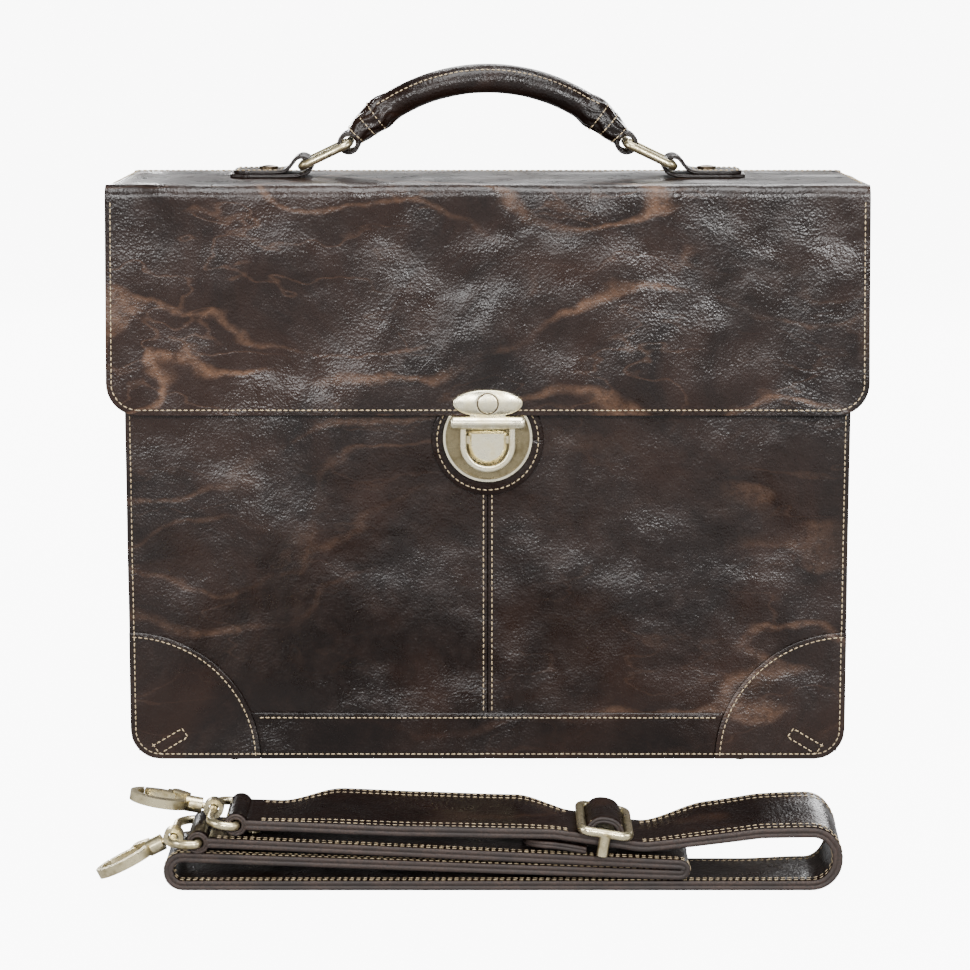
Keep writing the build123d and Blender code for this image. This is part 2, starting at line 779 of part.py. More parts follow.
def hook_swivel(plane):
    """The eye that rides on the D-ring, with the headed post that the hook turns on."""
    with BuildPart() as swivel:
        with BuildSketch(Plane(origin=plane.from_local_coords((0, 3, 0)), z_dir=(0, -1, 0))):
            Circle(hook_eye)
            Circle(2.5, mode=Mode.SUBTRACT)
        extrude(amount=6)
        rod_along(plane, hook_eye - 0.6, 6.4, 1.6)
        rod_along(plane, 9.4, 1.0, 2.3)
    return swivel


def hook_body(plane):
    """Neck, oval frame with a gap for the gate, and two ears that hold the gate's pin."""
    with BuildPart() as hook:
        with BuildSketch(plane.offset(-hook_half_z)):
            oval_frame()
            with Locations(((gate_pin[0] + gate_end_x) / 2 - 1.2, 10)):
                Rectangle(gate_end_x - gate_pin[0] + 3.0, 12, mode=Mode.SUBTRACT)
        extrude(amount=2 * hook_half_z)
        rod_along(plane, 5.6, 7.6, hook_neck)
        for level in (-hook_half_z - 1.1, hook_half_z + 0.1):
            with BuildSketch(plane.offset(level)):
                with Locations((gate_pin[0] - 2.4, gate_pin[1] - 1.4)):
                    SlotOverall(9.6, 4.6, rotation=28)
            extrude(amount=1.0)
        with BuildSketch(plane.offset(-hook_half_z - 1.1)):
            with Locations((gate_pin[0] - 4.9, gate_pin[1] - 2.7)):
                Circle(1.9)
        extrude(amount=2 * hook_half_z + 2.2)
        with BuildSketch(plane.offset(-hook_half_z - 1.1)):
            with Locations(gate_pin):
                Circle(0.9)
        extrude(amount=2 * hook_half_z + 2.2)
        rod_along(plane, 5.0, 5.0, 1.6 + running_gap, Mode.SUBTRACT)
        rod_along(plane, 9.3, 1.3, 2.4, Mode.SUBTRACT)
    return hook


def hook_gate(plane):
    """The spring gate: a curved bar with a round heel on the pin and a thumb knob."""
    with BuildPart() as gate:
        with BuildSketch(plane.offset(-hook_half_z + 0.15)):
            oval_frame()
            with Locations(((gate_pin[0] + gate_end_x) / 2, 10)):
                Rectangle(gate_end_x - gate_pin[0] - 0.4, 11.4, mode=Mode.INTERSECT)
            with Locations(gate_pin):
                Circle(1.8)
            with Locations((gate_pin[0] + 2.6, gate_pin[1] + 2.6)):
                Circle(1.7)
            with Locations(gate_pin):
                Circle(0.9 + running_gap, mode=Mode.SUBTRACT)
        extrude(amount=2 * hook_half_z - 0.3)
    return gate


for name, eye, ring_tip, hook_tip, y in hooks:
    ring_plane = tipped(eye, ring_tip, strap_y, d_length / 2)
    finish(wire_loop(ring_plane, d_length, 2 * d_half_y, d_radii, d_wire), f"strap_ring_{name}")
    far_bar = tipped(eye, ring_tip, y, d_length).origin
    hook_plane = tipped((far_bar.X, far_bar.Z), hook_tip, y)
    finish(hook_swivel(hook_plane), f"hook_swivel_{name}")
    finish(hook_body(hook_plane), f"hook_body_{name}")
    finish(hook_gate(hook_plane), f"hook_gate_{name}")
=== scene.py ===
import bmesh
import bpy
import json
from math import asin, cos, exp, pi, radians, sin, sqrt, tan
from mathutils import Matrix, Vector, noise


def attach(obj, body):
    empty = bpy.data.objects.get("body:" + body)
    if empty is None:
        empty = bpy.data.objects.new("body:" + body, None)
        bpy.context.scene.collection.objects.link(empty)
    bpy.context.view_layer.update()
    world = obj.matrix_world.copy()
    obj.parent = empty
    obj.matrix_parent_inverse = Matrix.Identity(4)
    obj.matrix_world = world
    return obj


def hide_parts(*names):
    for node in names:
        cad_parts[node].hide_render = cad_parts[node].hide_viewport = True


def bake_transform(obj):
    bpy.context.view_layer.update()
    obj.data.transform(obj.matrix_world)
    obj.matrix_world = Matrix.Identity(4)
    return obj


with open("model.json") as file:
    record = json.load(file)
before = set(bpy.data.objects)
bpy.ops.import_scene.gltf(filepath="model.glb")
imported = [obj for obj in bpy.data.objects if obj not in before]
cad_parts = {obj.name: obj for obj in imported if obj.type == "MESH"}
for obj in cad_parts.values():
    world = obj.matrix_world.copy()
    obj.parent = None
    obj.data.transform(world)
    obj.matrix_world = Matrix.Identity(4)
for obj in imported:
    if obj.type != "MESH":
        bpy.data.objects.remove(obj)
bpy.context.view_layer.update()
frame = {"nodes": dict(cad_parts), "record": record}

# ---------------------------------------------------------------- camera
# A long lens stands well back from the bag's front and a little above its top,
# and looks slightly down.
CAMERA_DIP = 9.96  # degrees below level
camera_data = bpy.data.cameras.new("camera")
camera_data.sensor_width = 36.0
camera_data.lens = 119.84
camera = bpy.data.objects.new("camera", camera_data)
camera.location = (-0.0014, -1.6995, 0.4398)
camera.rotation_euler = (radians(90 - CAMERA_DIP), 0, 0)
bpy.context.scene.collection.objects.link(camera)
bpy.context.scene.camera = camera

# ---------------------------------------------------------------- floor and light
# A plain pale sweep under the bag, lit by soft boxes above, in front, on both sides and behind.
# The sweep glows for the camera alone, so it looks white and throws little light on the bag.
def feed(tree, node, feeds):
    """Sets a node's inputs to plain values, or links them to the outputs of other nodes."""
    for key, source in feeds.items():
        if isinstance(source, bpy.types.NodeSocket):
            tree.links.new(source, node.inputs[key])
        else:
            node.inputs[key].default_value = source
    return node


def put(tree, kind, feeds=None, **values):
    """A shader or geometry node with its settings and its feeds."""
    node = tree.nodes.new(kind)
    for key, value in values.items():
        if key in node.inputs:
            node.inputs[key].default_value = value
        else:
            setattr(node, key, value)
    return feed(tree, node, feeds or {})


def new_material(name):
    material = bpy.data.materials.new(name)
    material.use_nodes = True
    return material, material.node_tree, material.node_tree.nodes["Principled BSDF"]


def place_on(tree):
    return put(tree, "ShaderNodeTexCoord").outputs["Object"]


SWEEP_GLOW = 9.0
sweep_material, sweep_tree, sweep_shader = new_material("pale_sweep")
sweep_noise = put(sweep_tree, "ShaderNodeTexNoise", {"Vector": place_on(sweep_tree)}, Scale=3.0)
sweep_tint = put(sweep_tree, "ShaderNodeMix", {"Factor": sweep_noise.outputs["Fac"], "A": (0.27, 0.27, 0.275, 1),
                                               "B": (0.29, 0.29, 0.29, 1)}, data_type="RGBA")
sweep_seen = put(sweep_tree, "ShaderNodeLightPath").outputs["Is Camera Ray"]
sweep_glow = put(sweep_tree, "ShaderNodeMath", {0: sweep_seen, 1: SWEEP_GLOW}, operation="MULTIPLY")
feed(sweep_tree, sweep_shader, {"Base Color": sweep_tint.outputs["Result"], "Roughness": 0.75,
                                "Emission Color": (1, 1, 1, 1), "Emission Strength": sweep_glow.outputs[0]})
sweep_mesh = bpy.data.meshes.new("floor")
sweep_mesh.from_pydata([(-25, -8, 0), (25, -8, 0), (25, 30, 0), (-25, 30, 0)], [], [(0, 1, 2, 3)])
sweep_mesh.materials.append(sweep_material)
sweep = bpy.data.objects.new("floor", sweep_mesh)
bpy.context.scene.collection.objects.link(sweep)

for lamp_name, lamp_place, lamp_aim, lamp_size, lamp_power in (
    ("top_box", (0.0, -0.5, 1.6), (0, -0.05, 0.1), 0.9, 34),
    ("front_left_box", (-0.55, -1.9, 0.78), (0, 0, 0.15), 0.5, 26),
    ("front_right_box", (0.62, -1.85, 0.90), (0, 0, 0.15), 0.45, 36),
    ("left_box", (-1.7, -0.8, 0.8), (0, 0, 0.15), 0.8, 20),
    ("right_box", (1.6, -0.7, 0.9), (0, 0, 0.15), 0.8, 18),
    ("back_box", (0.3, 1.6, 1.6), (0, 0, 0.2), 1.2, 34),
    ("rear_left_box", (0.9, 1.8, 0.75), (0, 0, 0.15), 0.6, 26),
    ("rear_right_box", (-0.7, 1.9, 0.65), (0, 0, 0.15), 0.5, 20),
):
    lamp_data = bpy.data.lights.new(lamp_name, "AREA")
    lamp_data.size = lamp_size
    lamp_data.energy = lamp_power
    lamp = bpy.data.objects.new(lamp_name, lamp_data)
    lamp.location = lamp_place
    lamp.rotation_euler = (Vector(lamp_aim) - Vector(lamp_place)).to_track_quat("-Z", "Y").to_euler()
    bpy.context.scene.collection.objects.link(lamp)

studio = bpy.data.worlds.new("studio")
studio.use_nodes = True
feed(studio.node_tree, studio.node_tree.nodes["Background"], {"Color": (0.95, 0.97, 1.0, 1), "Strength": 0.13})
bpy.context.scene.world = studio

# ---------------------------------------------------------------- leather
# Waxed pull-up hide: dark chocolate that turns lighter and redder where it is bent or rubbed,
# with a fine pebbled grain under the wax and thin branching creases.
def node_group(name, inputs, outputs):
    group = bpy.data.node_groups.new(name, "ShaderNodeTree")
    for label, kind, value in inputs:
        socket = group.interface.new_socket(label, in_out="INPUT", socket_type=kind)
        if value is not None:
            socket.default_value = value
    for label, kind in outputs:
        group.interface.new_socket(label, in_out="OUTPUT", socket_type=kind)
    return group, put(group, "NodeGroupInput").outputs, put(group, "NodeGroupOutput")


def sum_of(tree, a, b, gain=1.0):
    """a + gain x b."""
    return put(tree, "ShaderNodeMath", {0: b, 1: gain, 2: a}, operation="MULTIPLY_ADD").outputs[0]


def product_of(tree, a, b):
    return put(tree, "ShaderNodeMath", {0: a, 1: b}, operation="MULTIPLY").outputs[0]


def band(tree, value, low, high, out_low=0.0, out_high=1.0):
    """Rises smoothly from out_low to out_high as a value goes from low to high."""
    return put(tree, "ShaderNodeMapRange", {"Value": value, "From Min": low, "From Max": high, "To Min": out_low,
                                            "To Max": out_high}, interpolation_type="SMOOTHSTEP").outputs["Result"]


def mixed(tree, factor, a, b):
    return put(tree, "ShaderNodeMix", {"Factor": factor, "A": a, "B": b}, data_type="RGBA").outputs["Result"]


def noise_on(tree, vector, scale, detail, roughness=0.5, distortion=0.0):
    node = put(tree, "ShaderNodeTexNoise", {"Vector": vector}, Scale=scale, Detail=detail, Roughness=roughness,
               Distortion=distortion)
    return node.outputs["Fac"]


hide_group, hide_in, hide_out = node_group(
    "waxed_hide",
    [("Vector", "NodeSocketVector", None), ("Deep", "NodeSocketColor", (0.02, 0.01, 0.007, 1)),
     ("Warm", "NodeSocketColor", (0.07, 0.032, 0.02, 1)),
     ("Crease", "NodeSocketColor", (0.16, 0.08, 0.05, 1)),
     ("Marbling", "NodeSocketFloat", 1.0), ("Creasing", "NodeSocketFloat", 1.0)],
    [("Colour", "NodeSocketColor"), ("Roughness", "NodeSocketFloat"), ("Height", "NodeSocketFloat")])
on_hide = hide_in["Vector"]
cloud = noise_on(hide_group, on_hide, 13.0, 6.0, 0.62, 0.8)
mottle = noise_on(hide_group, on_hide, 75.0, 5.0, 0.7)
warp = put(hide_group, "ShaderNodeTexNoise", {"Vector": on_hide}, Scale=22.0, Detail=3.0)
shift = put(hide_group, "ShaderNodeVectorMath", {0: warp.outputs["Color"]}, operation="SCALE", Scale=0.022)
warped = put(hide_group, "ShaderNodeVectorMath", {0: on_hide, 1: shift.outputs[0]}, operation="ADD").outputs[0]
stretch = put(hide_group, "ShaderNodeMapping", {"Vector": warped}, Rotation=(0, radians(-14), 0),
              Scale=(0.50, 1.0, 1.35)).outputs[0]
long_vein = noise_on(hide_group, stretch, 9.0, 2.5, 0.45)
fine_vein = noise_on(hide_group, stretch, 24.0, 3.0)
where = band(hide_group, noise_on(hide_group, on_hide, 11.0, 3.0), 0.38, 0.64)


def ridge(tree, value, width, centre=0.5):
    """A thin bright line wherever a noise passes through one level."""
    off = put(tree, "ShaderNodeMath", {0: value, 1: centre}, operation="SUBTRACT")
    size = put(tree, "ShaderNodeMath", {0: off.outputs[0]}, operation="ABSOLUTE")
    return band(tree, size.outputs[0], 0.0, width, 1.0, 0.0)


wide_line = product_of(hide_group, ridge(hide_group, long_vein, 0.018), where)
small_line = product_of(hide_group, ridge(hide_group, fine_vein, 0.014, 0.52), where)
other_line = product_of(hide_group, ridge(hide_group, long_vein, 0.012, 0.60), where)
lines = sum_of(hide_group, sum_of(hide_group, wide_line, small_line, 0.28), other_line, 0.6)
frayed = noise_on(hide_group, on_hide, 190.0, 4.0, 0.75)
lines = product_of(hide_group, lines, band(hide_group, frayed, 0.30, 0.62, 0.25, 1.0))
lines = product_of(hide_group, lines, hide_in["Creasing"])
clouds = product_of(hide_group, band(hide_group, cloud, 0.36, 0.70), hide_in["Marbling"])
speckle = band(hide_group, mottle, 0.42, 0.75, 0.0, 0.42)
tone = mixed(hide_group, clouds, hide_in["Deep"], hide_in["Warm"])
tone = mixed(hide_group, speckle, tone, hide_in["Warm"])
tone = mixed(hide_group, lines, tone, hide_in["Crease"])
grain = put(hide_group, "ShaderNodeTexVoronoi", {"Vector": on_hide}, Scale=820.0, feature="SMOOTH_F1",
            Smoothness=0.6)
height = grain.outputs["Distance"]
for relief_source, gain in (
    (noise_on(hide_group, on_hide, 420.0, 3.0), 1.1),
    (noise_on(hide_group, warped, 60.0, 4.0, 0.6), 3.0),
    (noise_on(hide_group, warped, 10.0, 2.0), 120.0),
    (lines, -0.9),
):
    height = sum_of(hide_group, height, relief_source, gain)
gloss = sum_of(hide_group, band(hide_group, mottle, 0.3, 0.7, 0.25, 0.38), lines, 0.10)
feed(hide_group, hide_out, {"Colour": tone, "Roughness": gloss, "Height": height})


def leather(name, deep, warm, crease, marbling=1.0, creasing=1.0, relief=0.00016, wax=0.10, shine=0.34):
    """A material of the hide group with its own colours, and a thin coat of wax."""
    material, tree, shader = new_material(name)
    hide = put(tree, "ShaderNodeGroup", node_tree=hide_group)
    feed(tree, hide, {"Vector": place_on(tree), "Deep": (*deep, 1), "Warm": (*warm, 1), "Crease": (*crease, 1),
                      "Marbling": marbling, "Creasing": creasing})
    bump = put(tree, "ShaderNodeBump", {"Height": hide.outputs["Height"]}, Strength=1.0, Distance=relief)
    feed(tree, shader, {"Base Color": hide.outputs["Colour"], "Roughness": hide.outputs["Roughness"],
                        "Normal": bump.outputs["Normal"], "Coat Weight": wax, "Coat Roughness": 0.22,
                        "Specular IOR Level": shine})
    return material


bag_hide = leather("bag_hide", (0.0042, 0.0016, 0.0009), (0.0150, 0.0057, 0.0029), (0.080, 0.040, 0.022),
                   creasing=0.6)
lid_hide = leather("lid_hide", (0.0042, 0.0016, 0.0009), (0.0155, 0.0058, 0.0029), (0.100, 0.050, 0.027))
trim_hide = leather("trim_hide", (0.0038, 0.0015, 0.0009), (0.0105, 0.0040, 0.0021), (0.045, 0.021, 0.012),
                    creasing=0.3, wax=0.05, shine=0.26)
cut_edge = leather("painted_edge", (0.0045, 0.0024, 0.0019), (0.010, 0.0048, 0.0034), (0.03, 0.014, 0.009),
                   creasing=0.0)

# ---------------------------------------------------------------- thread
# Cream waxed linen thread in a straight lock stitch, about eight stitches to the inch,
# each one a short fat float that dips into the hide at both ends.
thread, thread_tree, thread_shader = new_material("cream_thread")
on_thread = place_on(thread_tree)
twist = noise_on(thread_tree, on_thread, 1500.0, 2.0)
dirt = band(thread_tree, noise_on(thread_tree, on_thread, 45.0, 2.0), 0.45, 0.8)
thread_tone = mixed(thread_tree, band(thread_tree, twist, 0.3, 0.7), (0.52, 0.41, 0.25, 1), (0.30, 0.225, 0.13, 1))
thread_tone = mixed(thread_tree, dirt, thread_tone, (0.20, 0.15, 0.10, 1))
thread_bump = put(thread_tree, "ShaderNodeBump", {"Height": twist}, Strength=0.5, Distance=0.0001)
feed(thread_tree, thread_shader, {"Base Color": thread_tone, "Normal": thread_bump.outputs["Normal"],
                                  "Roughness": 0.62})

stitch_tree = bpy.data.node_groups.new("lock_stitch", "GeometryNodeTree")
stitch_tree.interface.new_socket("Geometry", in_out="INPUT", socket_type="NodeSocketGeometry")
stitch_inputs = {}
for label, number in (("Pitch", 0.003), ("Float", 0.0023), ("Thickness", 0.00075)):
    stitch_inputs[label] = stitch_tree.interface.new_socket(label, in_out="INPUT", socket_type="NodeSocketFloat")
    stitch_inputs[label].default_value = number
stitch_tree.interface.new_socket("Geometry", in_out="OUTPUT", socket_type="NodeSocketGeometry")
stitch_in = put(stitch_tree, "NodeGroupInput").outputs
seam_line = put(stitch_tree, "GeometryNodeMeshToCurve", {"Mesh": stitch_in["Geometry"]})
holes = put(stitch_tree, "GeometryNodeCurveToPoints",
            {"Curve": seam_line.outputs[0], "Length": stitch_in["Pitch"]}, mode="LENGTH")
bead = put(stitch_tree, "GeometryNodeMeshUVSphere", Segments=7, Rings=5, Radius=0.5)
bead_size = put(stitch_tree, "ShaderNodeCombineXYZ",
                {"X": stitch_in["Thickness"], "Y": stitch_in["Thickness"], "Z": stitch_in["Float"]})
floats = put(stitch_tree, "GeometryNodeInstanceOnPoints",
             {"Points": holes.outputs["Points"], "Instance": bead.outputs["Mesh"],
              "Rotation": holes.outputs["Rotation"], "Scale": bead_size.outputs[0]})
whole = put(stitch_tree, "GeometryNodeRealizeInstances", {0: floats.outputs[0]})
smooth = put(stitch_tree, "GeometryNodeSetShadeSmooth", {0: whole.outputs[0]})
coloured = put(stitch_tree, "GeometryNodeSetMaterial", {0: smooth.outputs[0]}, Material=thread)
put(stitch_tree, "NodeGroupOutput", {0: coloured.outputs[0]})


def settle(piece):
    """Turns a piece's modifiers into plain mesh."""
    graph = bpy.context.evaluated_depsgraph_get()
    mesh = bpy.data.meshes.new_from_object(piece.evaluated_get(graph))
    piece.modifiers.clear()
    piece.data = mesh
    mesh.name = piece.name
    return piece


def mesh_piece(name, points, faces, *materials, edges=()):
    mesh = bpy.data.meshes.new(name)
    mesh.from_pydata([tuple(p) for p in points], list(edges), faces)
    for material in materials:
        mesh.materials.append(material)
    mesh.validate()
    mesh.update()
    if faces:
        mesh.shade_smooth()
    piece = bpy.data.objects.new(name, mesh)
    bpy.context.scene.collection.objects.link(piece)
    return piece


def sew(name, seams, pitch=0.003, length=0.0023, thickness=0.00075):
    """Stitches along lines of points, in metres. A seam that closes repeats its first point."""
    points, edges = [], []
    for seam in seams:
        start = len(points)
        points += seam
        edges += [(i, i + 1) for i in range(start, len(points) - 1)]
    piece = mesh_piece(name, points, [], edges=edges)
    modifier = piece.modifiers.new("stitches", "NODES")
    modifier.node_group = stitch_tree
    for label, number in (("Pitch", pitch), ("Float", length), ("Thickness", thickness)):
        modifier[stitch_inputs[label].identifier] = number
    settle(piece)
    return piece


# ---------------------------------------------------------------- body panels
# Front and back of the bag, each a soft 2 mm hide that swells a little over its contents.
# The front is two halves joined down the middle by a seam with two rows of stitches.
HALF_WIDTH, HALF_DEPTH, BODY_TOP, BODY_LOW = 0.1875, 0.050, 0.302, 0.004
ROUND = 0.016
LOCK_Z = 0.1755
PANEL_THICK = 0.002
LOCK_WINDOW = (-0.017, 0.017, 0.153, 0.1895)  # cut in the front for the lock's box: x and z, low and high


def swell(x, z, side):
    """How far the face of the body stands out from its flat plane."""
    across = 1 - min(1, abs(x) / HALF_WIDTH) ** 4
    up = max(0.0, sin(pi * min(1, max(0, (z - BODY_LOW) / (BODY_TOP - BODY_LOW)))))
    out = 0.0016 * across * up
    out += 0.0009 * noise.noise(Vector((x * 16, side * 3.1, z * 20))) * up
    out += 0.0005 * noise.noise(Vector((x * 55, side * 7.7, z * 48)))
    if side < 0:
        out -= 0.0008 * exp(-(x / 0.004) ** 2)
        near = sqrt(x * x + (z - LOCK_Z) ** 2)
        flat_to = (near - 0.030) / 0.035 if z < 0.20 else (abs(x) - 0.024) / 0.03
        out *= min(1.0, max(0.0, flat_to))
        if z > 0.185:
            out = min(out, 0.0012)
    return out


def on_face(x, z, side, lift=0.0):
    return Vector((x, side * (HALF_DEPTH + swell(x, z, side) + lift), z))


def half_width_at(z, inset=0.0):
    """Half the body's width at a height, with its round lower corners."""
    rise = z - BODY_LOW - inset
    radius = ROUND - inset
    if rise >= radius:
        return HALF_WIDTH - inset
    return HALF_WIDTH - inset - radius + sqrt(max(0.0, radius ** 2 - (radius - max(0.0, rise)) ** 2))


def stepped(low, high, count, bunch=1.0):
    return [low + (high - low) * (i / count) ** bunch for i in range(count + 1)]


def straight(start, end, count):
    """Evenly spaced points from one place to another."""
    return [Vector([a + (b - a) * (i / count) for a, b in zip(start, end)]) for i in range(count + 1)]


def grid_piece(name, rows, thick, *materials, bevel=0.0005, flip=False, window=None):
    """A sheet of leather over rows of points, with its thickness behind it and eased edges.
    A window is a box (x low, x high, z low, z high) that is cut out of it."""
    width = len(rows[0])
    points = [p for row in rows for p in row]
    faces = []
    for r in range(len(rows) - 1):
        for c in range(width - 1):
            a = r * width + c
            face = (a, a + 1, a + width + 1, a + width)
            faces.append(face[::-1] if flip else face)
    if window:
        x_low, x_high, z_low, z_high = window
        faces = [face for face in faces
                 if not all(x_low < points[i].x < x_high and z_low < points[i].z < z_high for i in face)]
        kept = sorted({i for face in faces for i in face})
        renumbered = {old: new for new, old in enumerate(kept)}
        points = [points[i] for i in kept]
        faces = [tuple(renumbered[i] for i in face) for face in faces]
    piece = mesh_piece(name, points, faces, *materials)
    shell = piece.modifiers.new("thickness", "SOLIDIFY")
    shell.thickness = thick
    shell.offset = -1
    if len(materials) > 1:
        shell.material_offset_rim = 1
    if bevel:
        ease = piece.modifiers.new("eased_edge", "BEVEL")
        ease.width = bevel
        ease.segments = 2
        ease.limit_method = "ANGLE"
        ease.angle_limit = radians(50)
    settle(piece)
    piece.data.shade_smooth()
    return piece


def face_rows(side, x_low, x_high, heights, count, lift=0.0):
    """Rows of points over a face between two width rules, x_low(z) and x_high(z)."""
    return [[on_face(x_low(z) + (x_high(z) - x_low(z)) * i / count, z, side, lift) for i in range(count + 1)]
            for z in heights]


corner_heights = [BODY_LOW + ROUND * (1 - cos(radians(a))) for a in range(0, 90, 10)]
panel_heights = corner_heights + stepped(BODY_LOW + ROUND, BODY_TOP, 74)
for panel_name, x_low, x_high in (
    ("front_panel_left", lambda z: -half_width_at(z), lambda z: -0.0002),
    ("front_panel_right", lambda z: 0.0002, half_width_at),
):
    panel = grid_piece(panel_name + "_hide", face_rows(-1, x_low, x_high, panel_heights, 50), PANEL_THICK,
                       bag_hide, cut_edge, window=LOCK_WINDOW)
    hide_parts(panel_name)
    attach(panel, "root")
panel = grid_piece("back_panel_hide", face_rows(1, lambda z: -half_width_at(z), half_width_at, panel_heights, 90),
                   PANEL_THICK, bag_hide, cut_edge, flip=True)
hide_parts("back_panel")
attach(panel, "root")

# ---------------------------------------------------------------- gusset
# One long strip that makes both sides and the bottom. Its middle draws in a little at the sides,
# and its edges are sewn between the edges of the front and back panels.
def gusset_point(t, y):
    """A point round the U of the gusset: t runs from -1, top left, over the bottom to 1, top right."""
    side_run = BODY_TOP - BODY_LOW - ROUND
    arc_run = ROUND * pi / 2
    floor_run = 2 * (HALF_WIDTH - ROUND)
    total = 2 * side_run + 2 * arc_run + floor_run
    s = (t + 1) / 2 * total
    mirror = -1
    if s > total / 2:
        s, mirror = total - s, 1
    middle = 1 - (y / HALF_DEPTH) ** 2
    if s < side_run:
        draw = 0.0022 * middle * sin(pi * s / side_run) + 0.0006 * noise.noise(Vector((s * 30, y * 40, mirror)))
        return Vector((mirror * (HALF_WIDTH - draw), y, BODY_TOP - s))
    if s < side_run + arc_run:
        a = (s - side_run) / ROUND
        return Vector((mirror * (HALF_WIDTH - ROUND + ROUND * cos(a)), y, BODY_LOW + ROUND - ROUND * sin(a)))
    return Vector((mirror * (HALF_WIDTH - ROUND - (s - side_run - arc_run)), y, BODY_LOW + 0.0003 * middle))


GUSSET_HALF = 0.0482
gusset_rows = [[gusset_point(t, -GUSSET_HALF + 2 * GUSSET_HALF * i / 24) for i in range(25)]
               for t in stepped(-1, 1, 220)]
gusset = grid_piece("gusset_hide", gusset_rows, PANEL_THICK, bag_hide, cut_edge)
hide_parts("side_gusset_left", "side_gusset_right", "bottom_gusset")
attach(gusset, "root")

# ---------------------------------------------------------------- base strips and corner patches
# A second layer of hide along the foot of both faces: a strip in the middle and quarter-round
# patches over the corners, with a small stitched dart on each front patch.
PATCH_RADIUS, OVERLAY, STRIP_TOP = 0.068, 0.0015, 0.029
SUNK = 0.0002  # how far a second layer is let into the one under it


def patch_grid(side, mirror):
    """Rows fanned out from a lower corner of the body to the patch's round edge."""
    rows = []
    for degrees_up in stepped(0, 90, 30):
        a = radians(degrees_up)
        spread = cos(a) + sin(a)
        start = ROUND * spread - sqrt(max(0.0, (ROUND * spread) ** 2 - ROUND ** 2))
        reaches = [start + (PATCH_RADIUS - start) * i / 22 for i in range(23)]
        rows.append([on_face(mirror * (HALF_WIDTH - reach * cos(a)), BODY_LOW + reach * sin(a), side, OVERLAY)
                     for reach in reaches])
    return rows


def strip_edge(z):
    """Where the strip ends at a height, a hair short of the patch's round edge."""
    return HALF_WIDTH - sqrt(PATCH_RADIUS ** 2 - (z - BODY_LOW) ** 2) - 0.0003


for side, face in ((-1, "front"), (1, "back")):
    strip_rows = face_rows(side, lambda z: -strip_edge(z), strip_edge, stepped(BODY_LOW, STRIP_TOP, 10), 70, OVERLAY)
    strip = grid_piece(f"base_strip_{face}_hide", strip_rows, OVERLAY + SUNK, trim_hide, cut_edge, flip=side > 0)
    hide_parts(f"base_strip_{face}")
    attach(strip, "root")
    for mirror, hand in ((-1, "left"), (1, "right")):
        patch = grid_piece(f"corner_patch_{face}_{hand}", patch_grid(side, mirror), OVERLAY + SUNK, bag_hide,
                           cut_edge, flip=side * mirror < 0)
        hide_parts(f"corner_patches_{face}")
        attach(patch, "root")

# ---------------------------------------------------------------- lock patch
# A round reinforcement behind the lock, with a neck that runs up under the flap.
PATCH_Z, NECK_HALF, NECK_TOP = LOCK_Z - 0.0015, 0.022, 0.2215
ROUND_PATCH = 0.029


def lock_patch_radius(a):
    """How far the patch reaches from its middle in a direction: round below, with a square neck above."""
    if sin(a) <= 0:
        return ROUND_PATCH
    return max(ROUND_PATCH, min(NECK_HALF / max(1e-6, abs(cos(a))), (NECK_TOP - LOCK_Z + 0.0015) / sin(a)))


lock_rows = [[on_face(lock_patch_radius(a) * r / 10 * cos(a), PATCH_Z + lock_patch_radius(a) * r / 10 * sin(a), -1,
                      OVERLAY) for a in (radians(degree) for degree in range(0, 361, 6))] for r in range(3, 11)]
lock_patch = grid_piece("lock_patch_hide", lock_rows, OVERLAY + 0.0001, trim_hide, cut_edge, flip=True)
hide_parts("lock_patch")
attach(lock_patch, "root")

# stitching of the body: panel edges, middle seam, strips, patches, darts and the ring round the lock
ON_LAYER = OVERLAY + 0.0002
EDGE_INSET, CORNER_INSET = 0.0025, 0.0028
body_seams = []
for side in (-1, 1):
    for mirror in (-1, 1):
        body_seams.append([on_face(mirror * half_width_at(z, EDGE_INSET), z, side, 0.0002)
                           for z in stepped(STRIP_TOP + 0.045, BODY_TOP - 0.002, 60)])
        body_seams.append([on_face(mirror * half_width_at(z, CORNER_INSET), z, side, ON_LAYER)
                           for z in stepped(BODY_LOW + CORNER_INSET, STRIP_TOP + 0.0425, 40, 1.6)])
        body_seams.append([on_face(mirror * (HALF_WIDTH - (PATCH_RADIUS - EDGE_INSET) * cos(radians(a))),
                                   BODY_LOW + (PATCH_RADIUS - EDGE_INSET) * sin(radians(a)), side, ON_LAYER)
                           for a in stepped(2.5, 87.5, 40)])
    low_x = half_width_at(BODY_LOW + CORNER_INSET, CORNER_INSET)
    top_x = HALF_WIDTH - PATCH_RADIUS - 0.001
    for x_end, z in ((low_x, BODY_LOW + CORNER_INSET), (top_x, STRIP_TOP - EDGE_INSET)):
        body_seams.append([on_face(x, z, side, ON_LAYER) for x in stepped(-x_end, x_end, 80)])
for x in (-0.0022, 0.0022):
    body_seams.append([on_face(x, z, -1, 0.0001) for z in stepped(STRIP_TOP + 0.002, LOCK_Z - 0.031, 50)])
LOCK_RING = 0.0262
body_seams.append([on_face(LOCK_RING * cos(radians(a)), PATCH_Z + LOCK_RING * sin(radians(a)), -1, ON_LAYER)
                   for a in range(-208, 29, 4)])
DART = ((-0.1755, 0.0115), (-0.1605, 0.0205), (-0.1575, 0.0160), (-0.1725, 0.0068), (-0.1755, 0.0115))
for mirror in (-1, 1):
    fine = []
    for (xa, za), (xb, zb) in zip(DART, DART[1:]):
        fine += [on_face(-mirror * (xa + (xb - xa) * i / 6), za + (zb - za) * i / 6, -1, ON_LAYER) for i in range(6)]
    body_seams.append(fine + [fine[0]])
body_stitches = sew("body_stitches", body_seams)
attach(body_stitches, "root")

